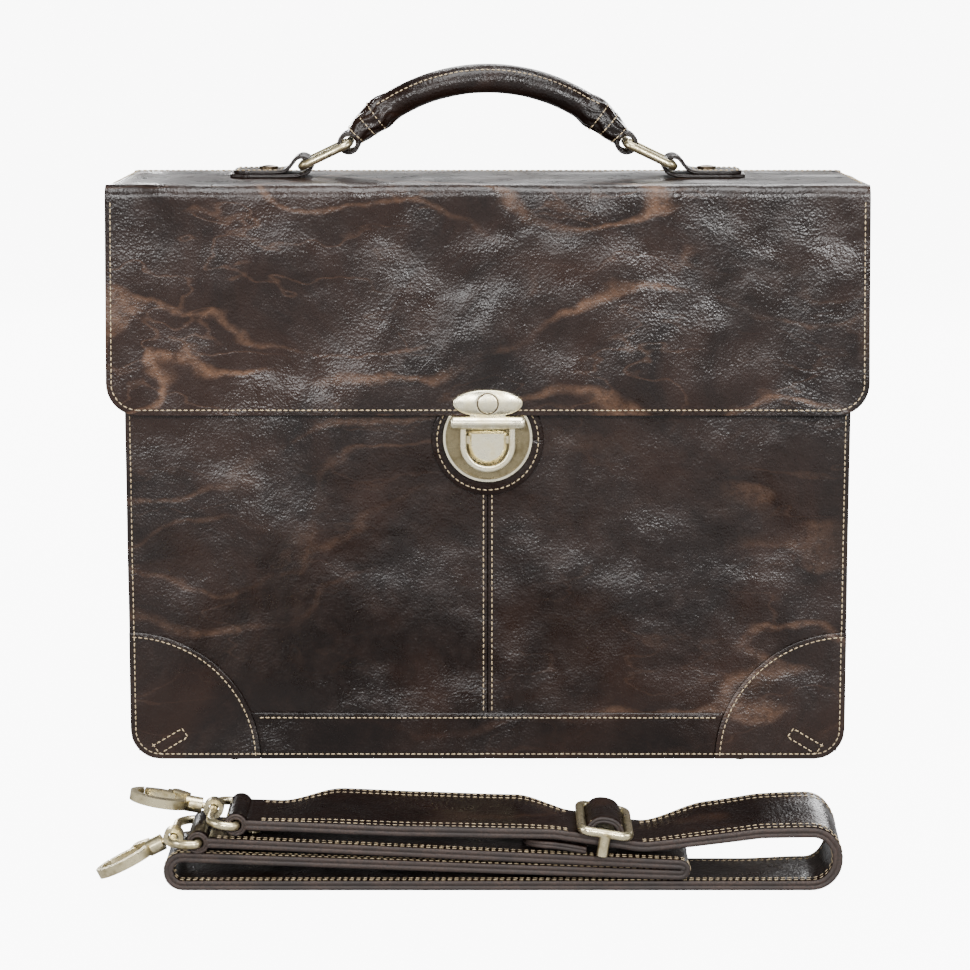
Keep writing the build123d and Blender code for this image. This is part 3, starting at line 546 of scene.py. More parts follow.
# ---------------------------------------------------------------- flap
# One large hide that lies on the bag's top, folds over its front edge and hangs over the face.
# Its free edge is painted dark and sewn all round.
FLAP_TOP, FLAP_FACE, FLAP_EDGE = 0.306, -0.0565, 0.1875
FLAP_CORNER, FLAP_THICK = 0.017, 0.0022
FLAP_HALF, FLAP_FLARE, FLARE_TOP = 0.195, 0.0015, 0.301  # it widens a little as it hangs
FOLD = 0.0065


def flap_half(z):
    """Half the flap's width where it hangs."""
    wide = FLAP_HALF + FLAP_FLARE * max(0.0, FLARE_TOP - z) / (FLARE_TOP - FLAP_EDGE)
    rise = z - FLAP_EDGE
    if rise < FLAP_CORNER:
        wide -= FLAP_CORNER - sqrt(max(0.0, FLAP_CORNER ** 2 - (FLAP_CORNER - rise) ** 2))
    return wide


def drape(x, z):
    """How far the hanging flap stands out in soft waves, flat where the plate is riveted to it."""
    fall = min(1.0, max(0.0, (0.300 - z) / 0.05))
    out = 0.0010 * noise.noise(Vector((x * 14, 4.4, z * 15)))
    out += 0.0006 * noise.noise(Vector((x * 45, 1.4, z * 38)))
    out += 0.0012 * max(0.0, (abs(x) - 0.13) / 0.07) ** 2 * max(0.0, (0.24 - z) / 0.05)
    near = sqrt((x / 1.4) ** 2 + (z - 0.192) ** 2)
    return out * fall * min(1.0, max(0.0, (near - 0.018) / 0.03))


def lid_half(y):
    """Half the flap's width on top, which narrows towards the back."""
    return FLAP_HALF - 0.005 * min(1.0, max(0.0, (y + 0.0515) / 0.100))


def flap_rows(offset=0.0, inset=0.0, low=0.0):
    """Rows across the flap from its rear edge over the fold to its free edge."""
    rows = []
    for y in stepped(0.0405, -0.047, 22):
        half = lid_half(y) - inset
        top = FLAP_TOP + offset
        rows.append([Vector((half * s, y, top + 0.0009 * noise.noise(Vector((half * s * 18, y * 25, 2.2)))
                             * min(1.0, max(0.0, (abs(abs(half * s) - 0.115) - 0.022) / 0.02))
                             - 0.0007 * max(0.0, abs(s) - 0.97) / 0.03)) for s in stepped(-1, 1, 130)])
    radius = FOLD + offset
    for a in range(10, 90, 10):
        y = -0.0500 - radius * sin(radians(a))
        z = FLAP_TOP - FOLD + radius * cos(radians(a))
        rows.append([Vector(((FLAP_HALF - inset) * s, y, z)) for s in stepped(-1, 1, 130)])
    edge = FLAP_EDGE + low
    heights = stepped(FLAP_TOP - FOLD, edge + FLAP_CORNER, 40)
    heights += [edge + FLAP_CORNER * (1 - sin(radians(a))) for a in range(10, 91, 10)]
    for z in heights:
        half = flap_half(z - low) - inset
        rows.append([Vector((half * s, FLAP_FACE - offset - drape(half * s, z), z)) for s in stepped(-1, 1, 130)])
    return rows


flap = grid_piece("flap_hide", flap_rows(), FLAP_THICK, lid_hide, cut_edge, bevel=0.0006, flip=True)
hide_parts("flap_front", "flap_top")
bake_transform(flap)

# the free edge's stitching, kept apart for the part that lies on top and the part that hangs
FLAP_INSET, CORNER_TURN, DROP_END = 0.0028, 0.1964, 0.1795
drop_seam = []
for mirror in (-1, 1):
    seam_line = [(mirror * (flap_half(z) - FLAP_INSET), z)
                 for z in stepped(FLAP_TOP - 0.010, FLAP_EDGE + FLAP_CORNER, 40)]
    for a in range(5, 86, 8):
        seam_line.append((mirror * (CORNER_TURN - FLAP_CORNER + 0.0142 * cos(radians(a))),
                          FLAP_EDGE + FLAP_CORNER - 0.0142 * sin(radians(a))))
    drop_seam.append([Vector((x, FLAP_FACE - 0.0002 - drape(x, z), z)) for x, z in seam_line])
low_z = FLAP_EDGE + FLAP_INSET
drop_seam.append([Vector((x, FLAP_FACE - 0.0002 - drape(x, low_z), low_z)) for x in stepped(-DROP_END, DROP_END, 120)])
drop_stitches = sew("flap_stitches", drop_seam)
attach(drop_stitches, "flap_front")
lid_seam = [[Vector((mirror * (lid_half(y) - 0.0032), y, FLAP_TOP + 0.0002)) for y in stepped(-0.044, 0.037, 30)]
            for mirror in (-1, 1)]
lid_seam.append(straight((-0.187, 0.0378, FLAP_TOP + 0.0003), (0.187, 0.0378, FLAP_TOP + 0.0003), 60))
lid_stitches = sew("lid_stitches", lid_seam)
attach(lid_stitches, "flap_top")

# ---------------------------------------------------------------- flap lining and rear fold
# A brown twill lining sewn under the flap, and the hide that carries the flap down the bag's back.
lining_group, lining_in, lining_out = node_group(
    "twill_weave", [("Vector", "NodeSocketVector", None), ("Dark", "NodeSocketColor", (0.03, 0.02, 0.012, 1)),
                    ("Light", "NodeSocketColor", (0.06, 0.04, 0.026, 1))],
    [("Colour", "NodeSocketColor"), ("Height", "NodeSocketFloat")])
twill = put(lining_group, "ShaderNodeTexWave", {"Vector": lining_in["Vector"]}, Scale=330.0, Distortion=0.6,
            Detail=1.0, bands_direction="DIAGONAL")
slub = band(lining_group, noise_on(lining_group, lining_in["Vector"], 260.0, 3.0), 0.25, 0.7, 0.5, 1.0)
weave = product_of(lining_group, twill.outputs["Fac"], slub)
feed(lining_group, lining_out, {"Colour": mixed(lining_group, weave, lining_in["Dark"], lining_in["Light"]),
                                "Height": weave})


def cloth(name, dark, light):
    """A matt woven cloth of two close tones."""
    material, tree, shader = new_material(name)
    woven = put(tree, "ShaderNodeGroup", node_tree=lining_group)
    feed(tree, woven, {"Vector": place_on(tree), "Dark": (*dark, 1), "Light": (*light, 1)})
    bump = put(tree, "ShaderNodeBump", {"Height": woven.outputs["Height"]}, Strength=0.6, Distance=0.00025)
    feed(tree, shader, {"Base Color": woven.outputs["Colour"], "Normal": bump.outputs["Normal"],
                        "Roughness": 0.85, "Sheen Weight": 0.25})
    return material


twill_cloth = cloth("lining_twill", (0.035, 0.022, 0.014), (0.085, 0.056, 0.036))
tape_cloth = cloth("zip_tape", (0.012, 0.009, 0.007), (0.03, 0.022, 0.017))

flap_lining = grid_piece("flap_lining_cloth", flap_rows(offset=-0.0022, inset=0.0012, low=0.0012), 0.0008,
                         twill_cloth, bevel=0, flip=True)
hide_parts("flap_front_lining", "flap_top_lining")
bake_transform(flap_lining)

REAR_LOW, REAR_HALF, REAR_CORNER = 0.250, 0.1865, 0.010
REAR_Y, REAR_FOLD = 0.0522, 0.0085
rear_rows = []
rear_heights = [REAR_LOW + REAR_CORNER * (1 - cos(radians(a))) for a in range(0, 90, 15)]
for z in rear_heights + stepped(0.260, 0.297, 14):
    half = REAR_HALF + 0.0025 * (z - 0.25) / 0.05
    if z < 0.260:
        half -= REAR_CORNER - sqrt(max(0.0, REAR_CORNER ** 2 - (0.260 - z) ** 2))
    rear_rows.append([Vector((half * s, REAR_Y + 0.0004 * noise.noise(Vector((half * s * 20, 5.0, z * 30))), z))
                      for s in stepped(-1, 1, 110)])
for a in range(10, 91, 10):
    y, z = 0.0437 + REAR_FOLD * cos(radians(a)), 0.2975 + REAR_FOLD * sin(radians(a))
    rear_rows.append([Vector((0.1895 * s, y, z)) for s in stepped(-1, 1, 110)])
rear_rows.append([Vector((0.1901 * s, 0.0408, FLAP_TOP)) for s in stepped(-1, 1, 110)])
rear_fold = grid_piece("flap_rear_hide", rear_rows, FLAP_THICK, lid_hide, cut_edge, flip=True)
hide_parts("flap_back_strip")
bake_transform(rear_fold)
REAR_SEAM_Y = 0.0524
rear_seam = [straight((-x, REAR_SEAM_Y, z), (x, REAR_SEAM_Y, z), 60) for x, z in ((0.176, 0.2532), (0.182, 0.2590))]
for mirror in (-1, 1):
    rear_seam.append([Vector((mirror * (0.1838 + 0.0025 * (z - 0.25) / 0.05), REAR_SEAM_Y, z))
                      for z in stepped(0.262, 0.296, 20)])
rear_stitches = sew("rear_stitches", rear_seam)
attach(rear_stitches, "root")

# ---------------------------------------------------------------- inside of the bag
# Twill lining on all walls, a divider of two cloths over a stiffener, a slip pocket on it and a
# zipped pocket on the back wall, all bound and sewn.
def wall_rows(y, x_half, z_low, z_high, puff=0.0, seed=1.0, across=60, up=50):
    """Rows of an upright cloth wall that may puff out in the middle, with slight waves of its own."""
    rows = []
    for z in stepped(z_low, z_high, up):
        t = (z - z_low) / (z_high - z_low)
        rows.append([Vector((x_half * s, y + puff * (1 - s ** 4) * sin(pi * t)
                             + 0.0005 * noise.noise(Vector((x_half * s * 25, seed, z * 22))), z))
                     for s in stepped(-1, 1, across)])
    return rows


CLOTH_THICK = 0.0008
for wall_name, y, flip in (("lining_front_cloth", -0.0469, True), ("lining_back_cloth", 0.0469, False)):
    wall = grid_piece(wall_name, wall_rows(y, 0.1838, 0.0075, 0.298, 0.0, y * 90), CLOTH_THICK, twill_cloth,
                      bevel=0, flip=flip)
    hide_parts("body_lining")
    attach(wall, "root")
side_rows = []
for t in stepped(-1, 1, 160):
    side_rows.append([])
    for i in range(17):
        outer = gusset_point(t, -0.0468 + 0.0936 * i / 16)
        side_rows[-1].append(Vector((outer.x * 0.986, outer.y, 0.0066 + (outer.z - BODY_LOW) * 0.978)))
side_lining = grid_piece("lining_side_cloth", side_rows, 0.0007, twill_cloth, bevel=0)
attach(side_lining, "root")

divider = grid_piece("divider_cloth", wall_rows(0.0062, 0.1835, 0.0105, 0.264, 0.0, 3.3), 0.0026, twill_cloth)
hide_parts("divider")
slip_pocket = grid_piece("slip_pocket_cloth", wall_rows(0.0055, 0.120, 0.030, 0.170, -0.0016, 6.1, 40, 30),
                         CLOTH_THICK, twill_cloth)
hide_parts("slip_pocket")
zip_pocket = grid_piece("zip_pocket_cloth", wall_rows(0.0459, 0.135, 0.120, 0.262, 0.0, 8.1, 40, 30),
                        CLOTH_THICK, twill_cloth)
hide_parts("zip_pocket")
for piece in (divider, slip_pocket, zip_pocket):
    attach(piece, "root")
binding_rows = []
for a in (0, 0.01, 25, 50, 90, 130, 155, 179.99, 180):
    y, z = 0.0076 - 0.0024 * cos(radians(a)), 0.2612 + 0.0040 * sin(radians(a)) + (0.0 if 0 < a < 180 else -0.010)
    binding_rows.append([Vector((0.1836 * s, y, z)) for s in stepped(-1, 1, 60)])
binding = grid_piece("divider_binding", binding_rows, 0.0009, trim_hide, cut_edge)
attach(binding, "root")
POCKET_Y, ZIP_POCKET_Y = 0.0045, 0.0450
inner_stitches = sew("inner_stitches", [
    straight((-0.182, 0.0050, 0.2540), (0.182, 0.0050, 0.2540), 40),
    straight((-0.1175, POCKET_Y, 0.168), (-0.1175, POCKET_Y, 0.033), 20)
    + straight((-0.1175, POCKET_Y, 0.0325), (0.1175, POCKET_Y, 0.0325), 30)
    + straight((0.1175, POCKET_Y, 0.033), (0.1175, POCKET_Y, 0.168), 20),
    straight((-0.132, ZIP_POCKET_Y, 0.260), (-0.132, ZIP_POCKET_Y, 0.123), 20)
    + straight((-0.132, ZIP_POCKET_Y, 0.1225), (0.132, ZIP_POCKET_Y, 0.1225), 30)
    + straight((0.132, ZIP_POCKET_Y, 0.123), (0.132, ZIP_POCKET_Y, 0.260), 20)
    + straight((0.132, ZIP_POCKET_Y, 0.2600), (-0.132, ZIP_POCKET_Y, 0.2600), 30),
], length=0.0020, thickness=0.0005)
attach(inner_stitches, "root")

# ---------------------------------------------------------------- metal
# Antique brass plating, brushed and clear, bright with darker and greener patches; the lock's parts take a lighter
# copy of it, painted bright as a highlight.
plate_group, plate_in, plate_out = node_group(
    "antique_plating", [("Vector", "NodeSocketVector", None), ("Bright", "NodeSocketColor", (0.7, 0.62, 0.4, 1)),
                        ("Dull", "NodeSocketColor", (0.3, 0.25, 0.13, 1))],
    [("Colour", "NodeSocketColor"), ("Roughness", "NodeSocketFloat"), ("Height", "NodeSocketFloat")])
on_plate = plate_in["Vector"]
stretched = put(plate_group, "ShaderNodeVectorMath", {0: on_plate, 1: (0.12, 1.0, 1.0)}, operation="MULTIPLY")
brushed = noise_on(plate_group, stretched.outputs[0], 2600.0, 3.0)
patina = noise_on(plate_group, on_plate, 120.0, 4.0, 0.65)
feed(plate_group, plate_out, {
    "Colour": mixed(plate_group, band(plate_group, patina, 0.40, 0.72), plate_in["Bright"], plate_in["Dull"]),
    "Roughness": sum_of(plate_group, band(plate_group, patina, 0.3, 0.75, 0.18, 0.38), brushed, 0.10),
    "Height": brushed})


def plated(tree, bright, dull):
    """The plating group, placed in a material with its own bright and dull colours."""
    plate = put(tree, "ShaderNodeGroup", node_tree=plate_group)
    return feed(tree, plate, {"Vector": place_on(tree), "Bright": (*bright, 1), "Dull": (*dull, 1)}).outputs


def metal(name, bright, dull):
    """A brushed metal: the plating group with its fine brush lines as bump."""
    material, tree, shader = new_material(name)
    plate = plated(tree, bright, dull)
    bump = put(tree, "ShaderNodeBump", {"Height": plate["Height"]}, Strength=0.3, Distance=0.00002)
    feed(tree, shader, {"Base Color": plate["Colour"], "Roughness": plate["Roughness"],
                        "Normal": bump.outputs["Normal"], "Metallic": 1.0})
    return material


antique_brass = metal("antique_brass", (0.76, 0.67, 0.43), (0.30, 0.24, 0.12))
# painted highlight: a lighter copy of the brass for the lock's parts
lock_brass_painted_highlight = metal("lock_brass_painted_highlight", (0.98, 0.91, 0.67), (0.66, 0.57, 0.34))
bronze = metal("dark_bronze", (0.13, 0.095, 0.06), (0.05, 0.035, 0.022))
zip_metal = metal("zip_brass", (0.55, 0.42, 0.19), (0.25, 0.18, 0.08))
nickel = metal("inner_nickel", (0.50, 0.49, 0.46), (0.28, 0.27, 0.25))

board_fibre = cloth("base_fibre", (0.02, 0.018, 0.016), (0.045, 0.04, 0.035))
core_foam = cloth("core_foam", (0.05, 0.05, 0.05), (0.11, 0.11, 0.11))

finishes = {"antique_brass": antique_brass, "zip_brass": zip_metal, "zip_chain": zip_metal, "inner_steel": nickel,
            "leather": bag_hide, "strap_leather": trim_hide, "lining": twill_cloth, "board": board_fibre,
            "core": core_foam}
for part in frame["record"]["subparts"]:
    cad_piece = frame["nodes"][part["node"]]
    cad_piece.data.materials.clear()
    cad_piece.data.materials.append(finishes[part["material_slot"]])
# the lock's parts take the lighter brass as a painted highlight
for painted_bright_node in ("hasp_plate", "hasp_rivet", "hasp", "lock_button"):
    frame["nodes"][painted_bright_node].data.materials[0] = lock_brass_painted_highlight

# the round base is left dark inside, with a thin bright band painted on its rim as a highlight
BASE_RIM_HIGHLIGHT = (0.0216, 0.0221)  # where the rim begins, from the base's middle
base_brass_painted_rim, base_tree, base_shader = new_material("dark_brass_painted_rim_highlight")
base_plate = plated(base_tree, (0.27, 0.225, 0.13), (0.12, 0.095, 0.05))
base_centre = put(base_tree, "ShaderNodeVectorMath", {0: place_on(base_tree), 1: (0, 0, LOCK_Z)},
                  operation="SUBTRACT")
base_flat = put(base_tree, "ShaderNodeVectorMath", {0: base_centre.outputs[0], 1: (1, 0, 1)}, operation="MULTIPLY")
base_radius = put(base_tree, "ShaderNodeVectorMath", {0: base_flat.outputs[0]}, operation="LENGTH")
# painted highlight: the bright band along the rim
base_tone_with_rim_highlight = mixed(base_tree, band(base_tree, base_radius.outputs["Value"], *BASE_RIM_HIGHLIGHT), base_plate["Colour"],
                  (0.80, 0.74, 0.56, 1))
feed(base_tree, base_shader, {"Base Color": base_tone_with_rim_highlight, "Roughness": base_plate["Roughness"], "Metallic": 1.0})
frame["nodes"]["lock_base"].data.materials[0] = base_brass_painted_rim


# the riveted oval plate is cast with a crowned face, and the shallow groove round the rivet's broad head is painted
# dark bronze as its shade
def ring_faces(rings, turns, start=0):
    """Faces of a tube whose points go round it in rings, from a first point."""
    faces = []
    for ring in range(rings):
        for i in range(turns):
            a, b = start + ring * turns + i, start + ring * turns + (i + 1) % turns
            faces.append((a, a + turns, b + turns, b))
    return faces


CROWN_TURN, CROWN_FACE_Y, PLATE_Z, CROWN_BULGE = 96, -0.0599, 0.1940, 0.0015
HEAD_RADIUS, HEAD_RINGS, GROOVE_SHADE_BAND = 0.0053, (0.0, 0.30, 0.60, 0.86, 0.93, 1.0, 1.07), (0.93, 1.07)
OVAL_START, OVAL_X, OVAL_Z = 0.0057, 0.0174, 0.0064
OVAL_RINGS = 10
GROOVE_DEPTH = 0.00035
crown_points = [(0.0, CROWN_FACE_Y, PLATE_Z)]
for ring in range(1, len(HEAD_RINGS) + OVAL_RINGS):
    for i in range(CROWN_TURN):
        angle = 2 * pi * i / CROWN_TURN
        if ring < len(HEAD_RINGS):
            wide = high = HEAD_RADIUS * HEAD_RINGS[ring]
        else:
            t = (ring - len(HEAD_RINGS) + 1) / OVAL_RINGS
            wide, high = OVAL_START + (OVAL_X - OVAL_START) * t, OVAL_START + (OVAL_Z - OVAL_START) * t
        x, z = wide * cos(angle), high * sin(angle)
        reach = (x / 0.0176) ** 2 + (z / 0.0066) ** 2
        dip = GROOVE_DEPTH if ring == 5 else 0.0
        crown_points.append((x, CROWN_FACE_Y + CROWN_BULGE * reach + dip, PLATE_Z + z))
crown_faces = [(0, 1 + i, 1 + (i + 1) % CROWN_TURN) for i in range(CROWN_TURN)]
crown_faces += ring_faces(len(HEAD_RINGS) + OVAL_RINGS - 2, CROWN_TURN, 1)
crown = mesh_piece("hasp_plate_crown", crown_points, crown_faces, lock_brass_painted_highlight, bronze)
# painted shade: the faces in the groove's band take the dark bronze
for polygon in crown.data.polygons:
    out = sqrt(polygon.center.x ** 2 + (polygon.center.z - PLATE_Z) ** 2)
    polygon.material_index = 1 if GROOVE_SHADE_BAND[0] < out / HEAD_RADIUS < GROOVE_SHADE_BAND[1] else 0
crown.modifiers.new("wall", "SOLIDIFY").thickness = 0.0009
settle(crown)
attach(crown, "flap_front")

# ---------------------------------------------------------------- zip
# Cast teeth in two rows on dark woven tapes; the slider and its pull stay as they are.
tape = grid_piece("zip_tape_cloth", wall_rows(0.0451, 0.118, 0.236, 0.256, 0.0, 9.5, 30, 6), 0.0006,
                  tape_cloth, bevel=0)
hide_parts("zip_chain")
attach(tape, "root")

tooth_tree = bpy.data.node_groups.new("zip_teeth", "GeometryNodeTree")
tooth_tree.interface.new_socket("Geometry", in_out="INPUT", socket_type="NodeSocketGeometry")
tooth_pitch = tooth_tree.interface.new_socket("Pitch", in_out="INPUT", socket_type="NodeSocketFloat")
tooth_tree.interface.new_socket("Geometry", in_out="OUTPUT", socket_type="NodeSocketGeometry")
tooth_in = put(tooth_tree, "NodeGroupInput").outputs
tooth_line = put(tooth_tree, "GeometryNodeMeshToCurve", {"Mesh": tooth_in["Geometry"]})
tooth_places = put(tooth_tree, "GeometryNodeCurveToPoints",
                   {"Curve": tooth_line.outputs[0], "Length": tooth_in["Pitch"]}, mode="LENGTH")
tooth = put(tooth_tree, "GeometryNodeMeshCube", Size=(0.0011, 0.0012, 0.0026))
teeth = put(tooth_tree, "GeometryNodeInstanceOnPoints",
            {"Points": tooth_places.outputs["Points"], "Instance": tooth.outputs["Mesh"]})
teeth = put(tooth_tree, "GeometryNodeRealizeInstances", {0: teeth.outputs[0]})
teeth = put(tooth_tree, "GeometryNodeSetMaterial", {0: teeth.outputs[0]}, Material=zip_metal)
put(tooth_tree, "NodeGroupOutput", {0: teeth.outputs[0]})
TOOTH_Y, TOOTH_PITCH = 0.0442, 0.0022
tooth_row = mesh_piece("zip_teeth", [(-0.112, TOOTH_Y, 0.2468), (0.112, TOOTH_Y, 0.2468),
                                     (-0.1109, TOOTH_Y, 0.2452), (0.112, TOOTH_Y, 0.2452)], [],
                       edges=[(0, 1), (2, 3)])
tooth_row.modifiers.new("teeth", "NODES").node_group = tooth_tree
tooth_row.modifiers[0][tooth_pitch.identifier] = TOOTH_PITCH
settle(tooth_row)
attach(tooth_row, "root")

# ---------------------------------------------------------------- handle
# A padded round grip with a closing seam along its upper front edge. Its ends are pressed flat,
# pleated like a fan and sewn across, and fold round the rings.
END_X, END_Z, CROWN_Z = 0.0725, 0.324, 0.3573
ARCH_RADIUS = (END_X ** 2 + (CROWN_Z - END_Z) ** 2) / (2 * (CROWN_Z - END_Z))
ARCH_Z = CROWN_Z - ARCH_RADIUS
END_ANGLE = asin(END_X / ARCH_RADIUS)


def lerp_table(value, table):
    """Reads a smooth value between the rows of a short table of (place, value)."""
    for (a, low), (b, high) in zip(table, table[1:]):
        if value <= b:
            t = max(0.0, (value - a) / (b - a))
            return low + (high - low) * t * t * (3 - 2 * t)
    return table[-1][1]


def handle_point(angle, turn, grow=0.0):
    """A point on the handle's skin: angle along the arch, turn round it from the outside to the front."""
    size = abs(angle) / END_ANGLE
    tall = lerp_table(size, ((0.0, 0.0076), (0.62, 0.0075), (0.72, 0.0084), (0.86, 0.0068), (0.97, 0.0050)))
    wide = lerp_table(size, ((0.0, 0.0077), (0.62, 0.0078), (0.76, 0.0104), (0.90, 0.0112), (0.97, 0.0110)))
    pleat = lerp_table(size, ((0.0, 0.0), (0.60, 0.0), (0.74, 1.0), (0.97, 0.5)))
    square = 1.0 - 0.28 * lerp_table(size, ((0.0, 0.0), (0.65, 0.0), (0.85, 1.0), (0.97, 1.0)))
    c, s = cos(turn), sin(turn)
    up = abs(c) ** square * (1 if c >= 0 else -1) * (tall + grow)
    out = abs(s) ** square * (1 if s >= 0 else -1) * (wide + grow)
    ripple = 1 + 0.055 * pleat * sin(11 * turn + 2.0 * sin(angle * 40))
    ripple += 0.012 * noise.noise(Vector((angle * 14, turn * 1.3, 1.7)))
    out, up = out * ripple, up * ripple
    radius = ARCH_RADIUS + up
    return Vector((radius * sin(angle), -out, ARCH_Z + radius * cos(angle)))


TURNS, SPANS, GRIP_SHARE = 48, 150, 0.955
grip_points = []
for i in range(SPANS + 1):
    angle = END_ANGLE * GRIP_SHARE * (2 * i / SPANS - 1)
    grip_points += [handle_point(angle, 2 * pi * k / TURNS) for k in range(TURNS)]
grip_faces = ring_faces(SPANS, TURNS)
grip_faces.append(tuple(range(TURNS)))
grip_faces.append(tuple(range(SPANS * TURNS, (SPANS + 1) * TURNS))[::-1])
grip = mesh_piece("handle_hide", grip_points, grip_faces, trim_hide)


def outwards(piece):
    """Turns all faces of a closed piece to the outside."""
    work = bmesh.new()
    work.from_mesh(piece.data)
    bmesh.ops.recalc_face_normals(work, faces=work.faces)
    work.to_mesh(piece.data)
    work.free()
    return piece


outwards(grip)
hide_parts("handle_grip", "handle_ends")
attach(grip, "handle")

grip_seams = []
for turn in (radians(52), radians(-128)):
    grip_seams.append([handle_point(END_ANGLE * 0.70 * s, turn, 0.0001) for s in stepped(-1, 1, 120)])
for side in (-1, 1):
    for size in (0.76, 0.84, 0.93):
        for first in (20, 200):
            grip_seams.append([handle_point(side * END_ANGLE * size, radians(a), 0.0002)
                               for a in range(first, first + 141, 5)])
grip_stitches = sew("handle_stitches", grip_seams, pitch=0.0027, length=0.0021, thickness=0.00065)
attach(grip_stitches, "handle")


def leather_run(name, route, thick, y_middle, half, *materials, closed=False, lean=None):
    """A strap of leather along a route of (x, z) points, as wide as half(t) to each side in y."""
    count = len(route)
    spans = count if closed else count - 1
    points, faces = [], []
    ease = min(0.0006, thick * 0.28)
    for i, (x, z) in enumerate(route):
        before = route[i - 1] if i or closed else route[0]
        after = route[(i + 1) % count] if i < count - 1 or closed else route[-1]
        dx, dz = after[0] - before[0], after[1] - before[1]
        size = sqrt(dx * dx + dz * dz)
        nx, nz = -dz / size, dx / size
        h, t = half(i / (count - 1)), thick / 2
        across = stepped(-h + ease, h - ease, 8)
        rim = [(h - ease * 0.15, t - ease), (h - ease * 0.3, t * 0.12), (h - ease, 0.0),
               (h - ease * 0.3, -t * 0.12), (h - ease * 0.15, -t + ease)]
        profile = [(y, t) for y in across] + rim
        profile += [(y, -t) for y in across[::-1]] + [(-y, n) for y, n in rim[::-1]]
        for y, n in profile:
            lift = lean(i / (count - 1), y) if lean else 0.0
            points.append(Vector((x + nx * n, y_middle + y, z + nz * n + lift)))
    ring = len(profile)
    for i in range(spans):
        for k in range(ring):
            a, b = i * ring + k, i * ring + (k + 1) % ring
            c, d = ((i + 1) % count) * ring + (k + 1) % ring, ((i + 1) % count) * ring + k
            faces.append((a, b, c, d))
    if not closed:
        faces.append(tuple(range(ring))[::-1])
        faces.append(tuple(range((count - 1) * ring, count * ring)))
    piece = mesh_piece(name, points, faces, *materials)
    if len(materials) > 1:
        rim_faces = [k for k in range(ring) if 8 <= k <= 13 or k >= ring - 6]
        for face in piece.data.polygons:
            if face.index % ring in rim_faces or face.index >= spans * ring:
                face.material_index = 1
    return outwards(piece)


def smooth_route(points, steps=8):
    """A flowing line through a few points."""
    route = []
    for i in range(len(points) - 1):
        p0, p1 = points[max(0, i - 1)], points[i]
        p2, p3 = points[i + 1], points[min(len(points) - 1, i + 2)]
        for k in range(steps):
            t = k / steps
            route.append(tuple(0.5 * (2 * b + (c - a) * t + (2 * a - 5 * b + 4 * c - d) * t * t
                                      + (3 * b - a - 3 * c + d) * t ** 3)
                               for a, b, c, d in zip(p0, p1, p2, p3)))
    route.append(tuple(points[-1]))
    return route


def ring_route(x, z, radius, count=36):
    return [(x + radius * cos(2 * pi * i / count), z + radius * sin(2 * pi * i / count)) for i in range(count)]


LOOP_RADIUS, LOOP_HALF = 0.00475, 0.0106
for side, hand in ((-1, "left"), (1, "right")):
    loop = leather_run(f"handle_loop_{hand}", ring_route(side * END_X, END_Z, LOOP_RADIUS), 0.0024, 0.0,
                       lambda t: LOOP_HALF, trim_hide, cut_edge, closed=True)
    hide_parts("handle_ends")
    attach(loop, "handle")

# ---------------------------------------------------------------- handle tabs
# A folded strap on each side of the flap's top, riveted and sewn down, that holds the handle's ring.
TAB_RIVET, TAB_TOP = 0.115, 0.3102


def tab_half(middle):
    """A tab's half width along its run, drawn in at both ends."""
    return lambda t: middle - 0.0035 * max(0.0, abs(2 * t - 1) - 0.93) / 0.07


tab_seams = []
for side, hand in ((-1, "left"), (1, "right")):
    line = [(0.1345, 0.30705), (0.118, 0.30705), (0.104, 0.30710), (0.0985, 0.30760), (0.0938, 0.3091),
            (0.0924, 0.3124), (0.0941, 0.3158), (0.0974, 0.3170), (0.1006, 0.3156), (0.1026, 0.3128),
            (0.1056, 0.3100), (0.1110, 0.30912), (0.122, 0.30905), (0.1325, 0.30905)]
    tab = leather_run(f"handle_tab_{hand}", smooth_route([(side * x, z) for x, z in line]), 0.0019, 0.0,
                      tab_half(0.0130), trim_hide, cut_edge)
    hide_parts("handle_tabs")
    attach(tab, "flap_top")
    tab_seams.append([Vector((side * x, y, TAB_TOP)) for x, y in
                      ((0.108, -0.0110), (0.1305, -0.0110), (0.1305, 0.0110), (0.108, 0.0110), (0.108, -0.0110))])
tab_stitches = sew("tab_stitches", tab_seams, pitch=0.0027, length=0.0021, thickness=0.0006)
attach(tab_stitches, "flap_top")


def domed(name, x, y, z, radius, height, toward, material):
    """A round rivet head that stands on a surface and looks along x or z."""
    def seat(u, v, up):
        if toward == "z":
            return Vector((x + u, y + v, z + up))
        return Vector((x + (up if toward == "+x" else -up), y + u, z + v))

    points, faces, rings, turns = [], [], 7, 28
    for r in range(rings + 1):
        a = radians(90 * r / rings)
        wide, up = radius * cos(a) if r < rings else 0.0, height * (0.25 + 0.75 * sin(a))
        points += [seat(wide * cos(2 * pi * k / turns), wide * sin(2 * pi * k / turns), up)
                   for k in range(turns if r < rings else 1)]
    for r in range(rings - 1):
        for k in range(turns):
            n = (k + 1) % turns
            faces.append((r * turns + k, r * turns + n, (r + 1) * turns + n, (r + 1) * turns + k))
    last = (rings - 1) * turns
    faces += [(last + k, last + (k + 1) % turns, rings * turns) for k in range(turns)]
    base = len(points)
    points += [seat(radius * cos(2 * pi * k / turns), radius * sin(2 * pi * k / turns), 0.0) for k in range(turns)]
    faces += [(base + k, base + (k + 1) % turns, (k + 1) % turns, k) for k in range(turns)]
    faces.append(tuple(range(base, base + turns))[::-1])
    return outwards(mesh_piece(name, points, faces, material))


for side, hand in ((-1, "left"), (1, "right")):
    head = domed(f"tab_rivet_{hand}", side * TAB_RIVET, 0.0, 0.3099, 0.0050, 0.0022, "z", bronze)
    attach(head, "flap_top")
for rivet_node in ("tab_rivets", "side_rivets"):
    frame["nodes"][rivet_node].data.materials.clear()
    frame["nodes"][rivet_node].data.materials.append(bronze)

